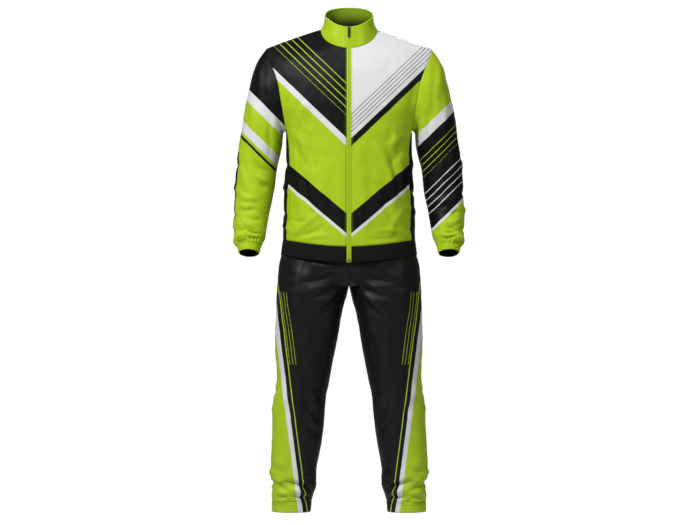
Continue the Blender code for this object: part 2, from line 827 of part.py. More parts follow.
def place(obj, pin):
    """Leans a piece drawn upright along the collar's front and sets it at the pin."""
    top = rim_point(np.array([FRONT_TURN]))[0]
    base = neck_point(np.array([FRONT_TURN]))[0]
    lean = math.atan2(top[1] - base[1], top[2] - base[2])
    cos = math.cos(lean)
    sin = math.sin(lean)
    for vertex in obj.data.vertices:
        y = vertex.co.y
        z = vertex.co.z
        vertex.co.y = y * cos + z * sin
        vertex.co.z = z * cos - y * sin
    obj.location = tuple(pin * METRES)


def pin_place():
    """Where the slider's cross pin sits, and how far the slider's plate is behind it."""
    top = rim_point(np.array([FRONT_TURN]))[0]
    base = neck_point(np.array([FRONT_TURN]))[0]
    up = (top - base) * np.array([0, 1, 1])
    up = up / np.linalg.norm(up)
    out = np.array([0.0, -up[2], up[1]])
    eye = PIN_RADIUS + PIN_PLAY + EYE_WALL
    standoff = CLOTH / 2 + SEAM_GAP + PLATE_CLOTH + PIN_PLAY + eye
    place_on_zip = top * np.array([0, 1, 1]) - up * SLIDER_DROP
    return place_on_zip + out * standoff, standoff


def slider():
    """A front and a back plate joined over the end of the zip, with ears and a cross pin."""
    pin, standoff = pin_place()
    face = standoff - CLOTH / 2 - SEAM_GAP
    back = standoff + CLOTH / 2 + SEAM_GAP
    head = SLIDER_DROP + SEAM_GAP + 1.2
    shape = rounded(SLIDER_WIDTH, head, head - SLIDER_HEIGHT - 1.5, 2.0)
    pieces = [outline_plate(shape, face - PLATE_CLOTH, face)]
    pieces.append(outline_plate(shape, back, back + PLATE_CLOTH))
    post = rounded(5.0, head - 0.05, SLIDER_DROP + SEAM_GAP, 0.4)
    pieces.append(outline_plate(post, face - 0.4, back + 0.4))
    for side in (-1, 1):
        x = side * (EYE_WIDTH / 2 + SEAM_GAP + EAR_WIDTH / 2)
        ear = ([], [])
        tube(ear, np.array([x, 0.0, 0.0]), PIN_RADIUS + 0.9, EAR_WIDTH, 16)
        pieces.append(ear)
        foot = [(x - EAR_WIDTH / 2 + 0.02, 1.3), (x + EAR_WIDTH / 2 - 0.02, 1.3)]
        foot = foot + [(x + EAR_WIDTH / 2 - 0.02, -1.3), (x - EAR_WIDTH / 2 + 0.02, -1.3)]
        pieces.append(outline_plate(foot, 0.0, face - PLATE_CLOTH / 2))
    bar = ([], [])
    tube(bar, np.zeros(3), PIN_RADIUS, EYE_WIDTH + 2 * SEAM_GAP + EAR_WIDTH, 16)
    pieces.append(bar)
    obj = join("zip_slider", "slider_metal", pieces)
    place(obj, pin)
    return obj


def tab():
    """The pull tab: an eye round the cross pin and a flat grip hanging from it."""
    pin, standoff = pin_place()
    eye = ([], [])
    bore = PIN_RADIUS + PIN_PLAY
    tube(eye, np.zeros(3), bore + EYE_WALL, EYE_WIDTH, 24, bore)
    neck = [(-EYE_WIDTH / 2 + 0.05, -bore - 0.35), (EYE_WIDTH / 2 - 0.05, -bore - 0.35)]
    neck = neck + [(EYE_WIDTH / 2 - 0.05, -6.0), (-EYE_WIDTH / 2 + 0.05, -6.0)]
    grip = rounded(TAB_WIDTH, -5.0, -TAB_LENGTH, 1.6)
    pieces = [eye, outline_plate(neck, -TAB_CLOTH / 2, TAB_CLOTH / 2)]
    pieces.append(outline_plate(grip, -TAB_CLOTH / 2 - 0.1, TAB_CLOTH / 2 + 0.1))
    obj = join("pull_tab", "pull_rubber", pieces)
    tilt = math.asin((standoff - CLOTH / 2 - TAB_CLOTH / 2 - 0.1 - SEAM_GAP) / TAB_LENGTH)
    cos = math.cos(tilt)
    sin = math.sin(tilt)
    for vertex in obj.data.vertices:
        y = vertex.co.y
        z = vertex.co.z
        vertex.co.y = y * cos - z * sin
        vertex.co.z = z * cos + y * sin
    place(obj, pin)
    return obj


def box_stop(tape):
    """The small stop that closes the zip at the hem, on the tape's own points."""
    low, high = tape[0, 0], tape[1, 0]
    up = (high - low) / np.linalg.norm(high - low)
    out = np.array([0.0, -up[2], up[1]])
    centre = low + up * (BOX_HEIGHT / 2 + 3.0)
    shape = rounded(BOX_WIDTH, BOX_HEIGHT / 2, -BOX_HEIGHT / 2, 0.8)
    near = CLOTH / 2 + SEAM_GAP
    points, faces = outline_plate(shape, -near - BOX_DEPTH, -near)
    moved = [centre + np.array([p[0], 0, 0]) - out * p[1] + up * p[2] for p in points]
    make_object("zip_box", "slider_metal", moved, faces)


def welt(sheet_points, normals, word):
    """A narrow welt on the front, from the front panel's own points moved out."""
    first, last = WELT_ROWS
    rows = np.array(sheet_points)
    stops = [first] + [r for r in range(int(first) + 1, int(last) + 1) if r < last] + [last]
    piece = Sheet("pocket_welt_" + word, "lime_knit", WELT_CLOTH)
    lines = []
    outs = []
    for stop in stops:
        k = min(int(stop), len(rows) - 2)
        row = rows[k] * (1 - stop + k) + rows[k + 1] * (stop - k)
        out = normals[k] * (1 - stop + k) + normals[k + 1] * (stop - k)
        place_in = int(WELT_COLUMNS[0])
        pair = []
        for column in WELT_COLUMNS:
            share = column - place_in
            pair.append(row[place_in] * (1 - share) + row[place_in + 1] * share)
        lines.append(pair)
        outs.append([out[place_in], out[place_in]])
    piece.grid(np.array(lines))
    face_outwards(piece)
    own = unit(piece.normals())
    thicken(piece, own, CLOTH / 2 + WELT_GAP + WELT_CLOTH / 2)


def build():
    for obj in list(bpy.data.objects):
        bpy.data.objects.remove(obj, do_unlink=True)
    sheets = jacket_sheets() + trouser_sheets()
    for sheet in sheets:
        face_outwards(sheet)
    fold(sheets, ("waistband",))
    normals = share_normals(sheets)
    for sheet, rows in zip(sheets, normals):
        thicken(sheet, rows)
        if sheet.name in ("front_left", "front_right"):
            shape = (TOP_ROW + 1, PANEL_STEPS + 1, 3)
            grid = np.array(sheet.points).reshape(shape)
            welt(grid, rows.reshape(shape), sheet.name.split("_")[1])
        if sheet.name == "zip_tape_left":
            box_stop(np.array(sheet.points).reshape(-1, 2, 3))
    slider()
    tab()


build()
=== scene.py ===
import math

import bpy
import mathutils
import numpy as np
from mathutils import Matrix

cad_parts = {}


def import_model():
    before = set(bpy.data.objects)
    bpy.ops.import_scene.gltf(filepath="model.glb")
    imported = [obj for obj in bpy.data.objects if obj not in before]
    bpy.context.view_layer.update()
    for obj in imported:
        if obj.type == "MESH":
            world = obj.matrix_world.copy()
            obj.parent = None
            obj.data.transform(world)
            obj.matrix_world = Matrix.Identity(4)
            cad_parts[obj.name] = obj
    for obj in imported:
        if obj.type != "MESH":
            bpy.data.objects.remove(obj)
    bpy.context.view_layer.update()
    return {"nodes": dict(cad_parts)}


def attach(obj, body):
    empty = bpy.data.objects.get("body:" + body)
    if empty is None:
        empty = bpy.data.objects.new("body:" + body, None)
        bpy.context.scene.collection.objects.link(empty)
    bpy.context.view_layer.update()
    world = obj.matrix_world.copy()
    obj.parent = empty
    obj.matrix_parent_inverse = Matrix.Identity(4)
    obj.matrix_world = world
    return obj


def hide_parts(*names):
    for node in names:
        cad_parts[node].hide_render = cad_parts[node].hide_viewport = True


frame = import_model()

# Tables and lengths are in millimetres and turn into metres when a mesh is made.
cloth = {
    "wall": 1.6,
    "ribWall": 2.2,
    "collarWall": 2.4,
    "seamGap": 0.06,
    # how far the edge rows, and the rows beside them, sink at a seam
    "seamSink": (0.55, 0.2),
    # points nearer than this are one place
    "together": 0.02,
    # a sheet with no more columns than this doesn't sink along its sides
    "narrow": 8,
    "finer": 6,
    "panelColumns": 56,
    "sideColumns": 24,
    "tapeColumns": 3,
    "tapeStart": 0.02,
    "seed": 11,
}


# Weights of a curve's start, leaving direction, end and arriving direction.
def weights(s):
    return 2 * s**3 - 3 * s**2 + 1, s**3 - 2 * s**2 + s, 3 * s**2 - 2 * s**3, s**3 - s**2


# Reads a table whose first column is the place, with a curve through its rows.
def smooth(table, at):
    rows = np.array(table, dtype=float)
    knots, values = rows[:, 0], rows[:, 1:]
    slopes = np.gradient(values, knots, axis=0)
    at = np.atleast_1d(np.asarray(at, dtype=float))
    k = np.clip(np.searchsorted(knots, at, side="right") - 1, 0, len(knots) - 2)
    span = (knots[k + 1] - knots[k])[:, None]
    a, b, c, d = weights((at[:, None] - knots[k][:, None]) / span)
    start = a * values[k] + b * span * slopes[k]
    end = c * values[k + 1] + d * span * slopes[k + 1]
    return start + end


def unit(rows):
    return rows / np.maximum(np.linalg.norm(rows, axis=-1, keepdims=True), 1e-9)


def mirrored(rows):
    return rows * [-1, 1, 1]


# Rows of cloth from start to end, leaving and arriving in the given directions.
def sweep(start, leave, end, arrive, steps):
    a, b, c, d = weights(np.linspace(0.0, 1.0, steps + 1)[None, :, None])
    return a * start[:, None] + b * leave[:, None] + c * end[:, None] + d * arrive[:, None]


# How far along a line each of its points lies.
def distances(points):
    return np.concatenate([[0.0], np.cumsum(np.linalg.norm(np.diff(points, axis=0), axis=1))])


# Count + 1 points at equal steps along a curve through the given points.
def even(points, count, samples=400):
    reach = distances(points)
    fine = smooth(np.column_stack([reach, points]), np.linspace(0.0, reach[-1], samples))
    run = distances(fine)
    marks = np.linspace(0.0, run[-1], count + 1)
    return np.column_stack([np.interp(marks, run, fine[:, axis]) for axis in range(3)])


# Joins stretches of rows, given as (first, last, step), into one list of places.
def stops(*stretches):
    parts = [np.arange(0, round((last - first) / step)) * step + first for first, last, step in stretches]
    return np.concatenate(parts + [[stretches[-1][1]]])


# How many of the places come before a row.
def before(places, row):
    return int(np.sum(places < row - 1e-6))


# Neck and collar: half width, middle and depth of the neck seam and of the collar's rim.
neck = {
    "half": 86.0, "y": -6.0, "front": 80.0, "back": 74.0, "sideZ": 4.6, "frontDrop": 55.6, "backRise": 7.4,
    "rimHalf": 73.0, "rimY": -9.0, "rimFront": 69.0, "rimBack": 71.0, "rimSideZ": 44.0, "rimSwing": 30.3,
    "frontCurve": 2.0, "backCurve": 0.7, "backRound": 0.85, "zipHalf": 7.0, "rows": 18, "flare": 2.4,
}
frontTurn = math.degrees(math.asin(neck["zipHalf"] / neck["half"]))


# Point of the neck seam: turn is 0 at the front, 90 at the side and 180 at the back.
def neckPoint(turn):
    angle = np.radians(turn)
    cos = np.cos(angle)
    depth = np.where(cos > 0, neck["front"], neck["back"])
    drop = np.where(cos > 0, neck["frontDrop"], neck["backRise"])
    x, y, z = neck["half"] * np.sin(angle), neck["y"] - depth * cos, neck["sideZ"] - drop * cos
    return np.column_stack([x, y, z])


# Point of the collar's top edge above the neck point of the same turn.
def rimPoint(turn):
    angle = np.radians(turn)
    cos = np.cos(angle)
    start = neck["zipHalf"] / neck["half"]
    share = np.clip((np.sin(angle) - start) / (1 - start), 0, 1)
    frontX = neck["zipHalf"] + (neck["rimHalf"] - neck["zipHalf"]) * share
    backX = neck["rimHalf"] * np.clip(np.sin(angle), 0, 1) ** neck["backRound"]
    y = neck["rimY"] - np.where(cos > 0, neck["rimFront"], neck["rimBack"]) * cos
    swing = np.sign(cos) * np.abs(cos) ** np.where(cos > 0, neck["frontCurve"], neck["backCurve"])
    z = neck["rimSideZ"] - neck["rimSwing"] * swing
    return np.column_stack([np.where(cos > 0, frontX, backX), y, z])


# Body of the jacket. Rows 0 to 9 go from the hem to the armpit, 9 to 23 along the armhole.
torso = {
    # row, y, z
    "frontCentre": ((0, -139, -650), (4.5, -131, -475), (9, -129, -300), (12, -126, -218), (15, -111, -116),
                    (17, -85.7, -51)),
    "backCentre": ((0, 138, -644), (4.5, 125, -475), (9, 123, -312), (12, 127, -205), (15, 113, -95),
                   (18, 68, 12)),
    # row, x, y, z
    "sideSeam": ((0, 190, -44, -634), (3, 187, -43, -520), (6, 181.5, -41, -406), (7.5, 183, -41, -350),
                 (9, 191, -39, -295)),
    # row, outwards, backwards
    "sideSwell": ((0, 44, 88), (6, 44, 84), (7.5, 34, 82), (9, 0, 80)),
    # row, direction on leaving the centre, direction on arriving at the outer edge
    "frontFlow": ((0, 285, -4, 6, 70, 150, 4), (9, 285, 0, 4, 60, 160, 0), (13, 265, 4, -8, 130, 120, -20),
                  (17, 225, 10, -45, 150, 90, -50), (20, 178, 8, -56, 160, 55, -70),
                  (23, 165, 8, -48, 160, 6, -62)),
    "backFlow": ((0, 295, 4, 6, 70, -150, 4), (9, 295, 0, 4, 60, -160, 0), (13, 280, 2, -8, 130, -110, -20),
                 (18, 190, 30, -80, 150, -60, -60), (20, 178, 14, -66, 160, -40, -70),
                 (23, 165, 8, -48, 160, 6, -62)),
    # x, front y, back y, z
    "armhole": ((250, 4, 4, -51), (251, -16, 24, -56), (246, -38, 47, -78), (233, -58, 69, -108),
                (217, -73, 84, -152), (207, -77, 88, -207), (198, -66, 76, -258), (191.5, -41, 45, -293),
                (191, 0, 4, -302)),
    "armpitRow": 9, "frontNeckRow": 17, "backNeckRow": 18, "topRow": 23, "lowStep": 0.1,
    "loopRows": 16,
}
armpit = torso["armpitRow"]
torsoStops = stops((0, armpit, torso["lowStep"]), (armpit, torso["topRow"], 1 / cloth["finer"]))
lowCount = before(torsoStops, armpit)
halfLoop = torso["loopRows"] * cloth["finer"]


def armholeLoop():
    rows = np.array(torso["armhole"], dtype=float)
    front = even(rows[:, [0, 1, 3]], halfLoop)
    back = even(rows[:, [0, 2, 3]], halfLoop)
    back[0] = front[0]
    low = (front[-1] + back[-1]) / 2
    front[-1] = back[-1] = low
    return np.vstack([front[:-1], back[::-1][:-1]])


# Inner edge of a half: up the centre to the neck, then along the neck to the shoulder.
def centreLine(side, turn, x):
    neckRow = torso[side + "NeckRow"]
    count = before(torsoStops, neckRow)
    rise = np.column_stack([np.full(count, x), smooth(torso[side + "Centre"], torsoStops[:count])])
    share = (torsoStops[count:] - neckRow) / (torso["topRow"] - neckRow)
    return np.vstack([rise, neckPoint(turn + (90.0 - turn) * share)])


def torsoHalf(side):
    loop = armholeLoop()
    seam = smooth(torso["sideSeam"], torsoStops[:lowCount])
    count = (torso["topRow"] - armpit) * cloth["finer"]
    if side == "front":
        inner = centreLine(side, frontTurn, neck["zipHalf"])
        upper = loop[: count + 1][::-1]
    else:
        inner = centreLine(side, 180.0, 0.0)
        seam = seam * [1, -1, 1]
        upper = np.vstack([loop[len(loop) - count:], loop[:1]])
    flow = smooth(torso[side + "Flow"], torsoStops)
    return sweep(inner, flow[:, :3], np.vstack([seam, upper]), flow[:, 3:], cloth["panelColumns"])


def sideRows(front, back):
    start, end = front[: lowCount + 1, -1], back[: lowCount + 1, -1]
    swell = np.zeros((lowCount + 1, 3))
    swell[:, :2] = smooth(torso["sideSwell"], torsoStops[: lowCount + 1])
    rows = sweep(start, swell, end, swell * [-1, 1, 1], cloth["sideColumns"])
    first = halfLoop - cloth["sideColumns"] // 2
    rows[-1] = armholeLoop()[first: first + cloth["sideColumns"] + 1]
    return rows


# Sleeve sections: outer x and z, inner x and z, middle y, half depth, forward pitch in degrees.
sleeve = {
    "sections": ((285, -108, 199, -308, 4, 81, 0), (304, -180, 201, -318, 6, 79, 0),
                 (320, -258, 202.5, -334, 8, 77, 0), (333, -342, 205.5, -358, 9, 73, 2),
                 (343, -415, 221, -420, 9, 68, 6), (347, -488, 230, -491, 2, 63, 13),
                 (351, -561, 246, -564, -12, 57, 20), (348.5, -616, 254, -621, -33, 49, 23),
                 (349, -638, 263, -640, -43, 43, 24), (337, -652, 269, -654, -48, 35, 24)),
    "cuff": ((335.5, -663, 270.5, -665, -53, 33.5, 24), (333.5, -671, 272.5, -673, -57, 31.5, 24)),
    "cuffRows": 10,
    # gathers above the cuff: how many, then size, waves round the sleeve and start of what makes
    # them wander, lean with the height and differ
    "pleats": 21, "wander": ((0.9, 2, 0.1), (0.7, 5, 0.4)), "lean": (0.5, 2.2), "differ": (0.25, 3, 0.2),
    # stop and height of the gathers
    "gather": ((0, 0), (7.8, 0), (8.3, 0.2), (8.8, 0.7), (9.3, 1.7), (9.7, 2.1), (10, 0.9)),
    "stretches": ((0, 7, 0.07), (7, 10, 0.05)),
}
sleeveStops = stops(*sleeve["stretches"])


def sleeveRing(section):
    outerX, outerZ, innerX, innerZ, y, depth, pitch = section
    centre = np.array([(outerX + innerX) / 2, y, (outerZ + innerZ) / 2])
    across = np.array([outerX - innerX, 0.0, outerZ - innerZ]) / 2
    tilt = math.radians(pitch)
    forward = np.array([0.0, -math.cos(tilt), math.sin(tilt)]) * depth
    turn = np.linspace(0, 2 * math.pi, 2 * halfLoop, endpoint=False)[:, None]
    return centre + np.cos(turn) * across + np.sin(turn) * forward


def sleeveRows():
    rings = np.array([armholeLoop()] + [sleeveRing(row) for row in sleeve["sections"]])
    table = np.column_stack([np.arange(len(rings)), rings.reshape(len(rings), -1)])
    rows = smooth(table, sleeveStops).reshape(len(sleeveStops), -1, 3)
    height = smooth(sleeve["gather"], sleeveStops)[:, 0].clip(0)
    turn = np.linspace(0, 1, rows.shape[1], endpoint=False)

    def wave(size, times, start):
        return size * np.sin(2 * np.pi * (times * turn + start))

    phase = 2 * np.pi * sleeve["pleats"] * turn + sum(wave(*values) for values in sleeve["wander"])
    size, rate = sleeve["lean"]
    ripple = np.sin(phase[None, :] + size * np.sin(sleeveStops[:, None] * rate))
    share = 1 - sleeve["differ"][0] + wave(*sleeve["differ"])
    spoke = unit(rows - rows.mean(axis=1, keepdims=True))
    return rows + spoke * (height[:, None] * ripple * share[None, :])[..., None]


# Trousers. Rows 0 to 9 go from the waist to the crotch, 9 to 30 down the leg.
trousers = {
    # row, x, y, z
    "outseam": ((0, 178, 0, -640), (2, 203.0, 1, -676), (4, 212, 2, -706), (6, 216, 3, -735),
                (7.5, 218, 3, -754), (9, 219.5, 4, -775), (10.5, 222, 4, -833), (12, 224, 3, -896),
                (14, 223.5, 2, -980), (16, 220.5, 1, -1064), (17, 228, 0, -1106), (18, 231, 0, -1148),
                (20, 235, 2, -1232), (22, 239, 6, -1316), (25, 239, 7, -1362), (27, 231.5, 7, -1387),
                (28.5, 236, 8, -1410), (30, 234, 8, -1432)),
    "inseam": ((9, 0, -6, -773), (10, 9, 0, -812), (11, 20, 3, -853), (12, 29, 3, -896), (14, 44, 2, -980),
               (16, 61, 1, -1064), (17, 69, 1, -1106), (18, 73, 0, -1148), (20, 82, 2, -1232),
               (22, 97, 6, -1316), (25, 99, 7, -1362), (27, 101, 7, -1387), (28.5, 110, 8, -1410),
               (30, 116, 8, -1432)),
    # row, y, z of the centre seams
    "frontRise": ((0, -122, -646), (2, -130, -690), (4, -130, -722), (6, -108, -750), (7.5, -58, -767),
                  (9, -6, -773)),
    "backRise": ((0, 118, -640), (2, 132, -684), (4, 138, -716), (6, 120, -748), (7.5, 64, -767),
                 (9, -6, -773)),
    # row, pull out of the outseam, then the direction on arriving inside
    "frontSwing": ((0, 200, -290, 0, 0), (2, 225, -315, 0, 0), (4, 260, -305, 5, -5), (6, 330, -265, 50, -16),
                   (7.5, 390, -240, 260, -16), (9, 380, -150, 540, -8), (10, 405, -70, 490, 0),
                   (11, 415, -24, 440, 0)),
    "backSwing": ((0, 200, -290, 0, 0), (2, 204, -315, 0, 0), (4, 252, -310, 0, -5), (6, 360, -280, 60, -16),
                  (7.5, 440, -255, 300, -16), (9, 430, -150, 620, -8), (10, 470, -70, 560, 0),
                  (11, 470, -24, 500, 0)),
    # row, the one pull of both seams below the thigh in front and behind
    "legSwing": ((12, 400, 455), (14, 362, 400), (16, 330, 356), (18, 308, 332), (20, 290, 310), (22, 272, 284),
                 (25, 264, 268), (27, 244, 248), (28.5, 256, 258), (30, 236, 238)),
    "crotchRow": 9, "columns": 48, "waistbandRows": 5, "waistbandHeight": 38.0, "waistbandTaper": 0.03,
    "cuffRows": 9, "cuffHeight": 32.0, "cuffShift": 1.5,
    "stretches": ((0, 9, 0.25), (9, 22, 0.1), (22, 30, 0.25)),
}
legStops = stops(*trousers["stretches"])


def trouserHalf(side):
    sign = -1.0 if side == "front" else 1.0
    count = before(legStops, trousers["crotchRow"])
    centre = np.column_stack([np.zeros(count), smooth(trousers[side + "Rise"], legStops[:count])])
    inner = np.vstack([centre, smooth(trousers["inseam"], legStops[count:])])
    column = 1 if side == "front" else 2
    lower = tuple((row[0], row[column], 0, row[column], 0) for row in trousers["legSwing"])
    flow = smooth(trousers[side + "Swing"] + lower, legStops)
    leave = flow[:, :1] * [0, sign, 0]
    arrive = flow[:, 1:] * [1, -sign, 1]
    return sweep(smooth(trousers["outseam"], legStops), leave, inner, arrive, trousers["columns"])


# Hem band: rows under the jacket's hem, each a little lower and wider.
hem = {"depthSide": 46.0, "depthFront": 48.0, "frontReach": 140.0, "flare": 0.030, "flareFrom": 120.0,
       "flareDeep": 0.6, "rows": 14}


def bandRows(ring):
    share = np.linspace(0, 1, hem["rows"] + 1)[:, None]
    front = np.clip(-ring[:, 1] / hem["frontReach"], 0, 1)
    drop = hem["depthSide"] + (hem["depthFront"] - hem["depthSide"]) * front
    wide = 1 + hem["flare"] * share * np.minimum(np.abs(ring[:, 0]) / hem["flareFrom"], 1)
    deep = 1 + hem["flareDeep"] * hem["flare"] * share
    return np.stack([ring[:, 0] * wide, ring[:, 1] * deep, ring[:, 2] - drop * share], axis=-1)


sheets = {}


# A sheet is a grid of points; facing says where its outside looks.
def addSheet(name, grid, facing, closed=False, wall="wall"):
    points = np.array(grid, dtype=float)
    sheets[name] = {"grid": points, "facing": facing, "closed": closed, "wall": cloth[wall]}


# The same sheet for the left and, mirrored, for the right.
def addPair(name, grid, *rest):
    addSheet(name + "Left", grid, *rest)
    addSheet(name + "Right", mirrored(np.array(grid)), *rest)


# A ring of points from one half that starts and ends in the middle, without what falls together.
def bothHalves(half, last=None):
    return np.vstack([half, mirrored(half[::-1][1:last])])


def jacketSheets():
    front, back = torsoHalf("front"), torsoHalf("back")
    side, arm = sideRows(front, back), sleeveRows()
    rings = np.array([arm[-1]] + [sleeveRing(row) for row in sleeve["cuff"]])
    table = np.column_stack([np.arange(3), rings.reshape(3, -1)])
    cuff = smooth(table, np.linspace(0, 2, sleeve["cuffRows"] + 1)).reshape(-1, *rings.shape[1:])
    addPair("front", front, "front")
    addPair("sidePanel", side, "side")
    addPair("sleeve", arm, "ring", True)
    addPair("cuff", cuff, "ring", True, "ribWall")
    addSheet("back", np.concatenate([mirrored(back)[:, ::-1], back], axis=1), "back")
    # the column and row from which the two halves of the back go round the neck
    sheets["back"]["fork"] = (cloth["panelColumns"], before(torsoStops, torso["backNeckRow"]))

    band = bandRows(bothHalves(np.vstack([front[0, :-1], side[0, :-1], back[0, ::-1]])))
    addSheet("hemBand", band, "ring", False, "ribWall")

    neckRows = torso["frontNeckRow"], torso["backNeckRow"]
    counts = [(torso["topRow"] - row) * cloth["finer"] + 1 for row in neckRows]
    turns = np.linspace(frontTurn, 90.0, counts[0])
    turns = np.concatenate([turns, np.linspace(90.0, 180.0, counts[1])[1:]])
    base, rim = bothHalves(neckPoint(turns)), bothHalves(rimPoint(turns))
    rise = np.linspace(0, 1, neck["rows"] + 1)[:, None]
    collar = base + (rim - base) * rise[..., None]
    collar[..., 0] = rim[:, 0] + (1 - rise) ** neck["flare"] * (base[:, 0] - rim[:, 0])
    addSheet("collar", collar, "ring", False, "collarWall")

    neckCount = before(torsoStops, torso["frontNeckRow"])
    edge = np.vstack([band[::-1][:, 0], front[1: neckCount + 1, 0], collar[1:, 0]])
    share = np.linspace(cloth["tapeStart"], 1, cloth["tapeColumns"] + 1)
    tape = np.repeat(edge[:, None], len(share), axis=1)
    tape[..., 0] *= share
    addPair("zipTape", tape, "front")


def trouserSheets():
    front, back = trouserHalf("front"), trouserHalf("back")
    addPair("trouserFront", front, "front")
    addPair("trouserBack", back, "back")
    ring = np.vstack([front[-1, :-1], back[-1, ::-1][:-1]])
    share = np.linspace(0, 1, trousers["cuffRows"] + 1)[:, None, None]
    drop = np.array([trousers["cuffShift"], 0, -trousers["cuffHeight"]])
    addPair("legCuff", ring + drop * share, "ring", True, "ribWall")
    ring = bothHalves(np.vstack([front[0, ::-1][:-1], back[0]]), -1)
    share = np.linspace(0, 1, trousers["waistbandRows"] + 1)[:, None]
    taper = 1 - trousers["waistbandTaper"] * share
    rows = ring * np.stack([taper, taper, np.ones_like(taper)], axis=-1)
    rows[..., 2] += trousers["waistbandHeight"] * share
    addSheet("waistband", rows, "ring", True, "ribWall")


jacketSheets()
trouserSheets()
print("sheets:", len(sheets))

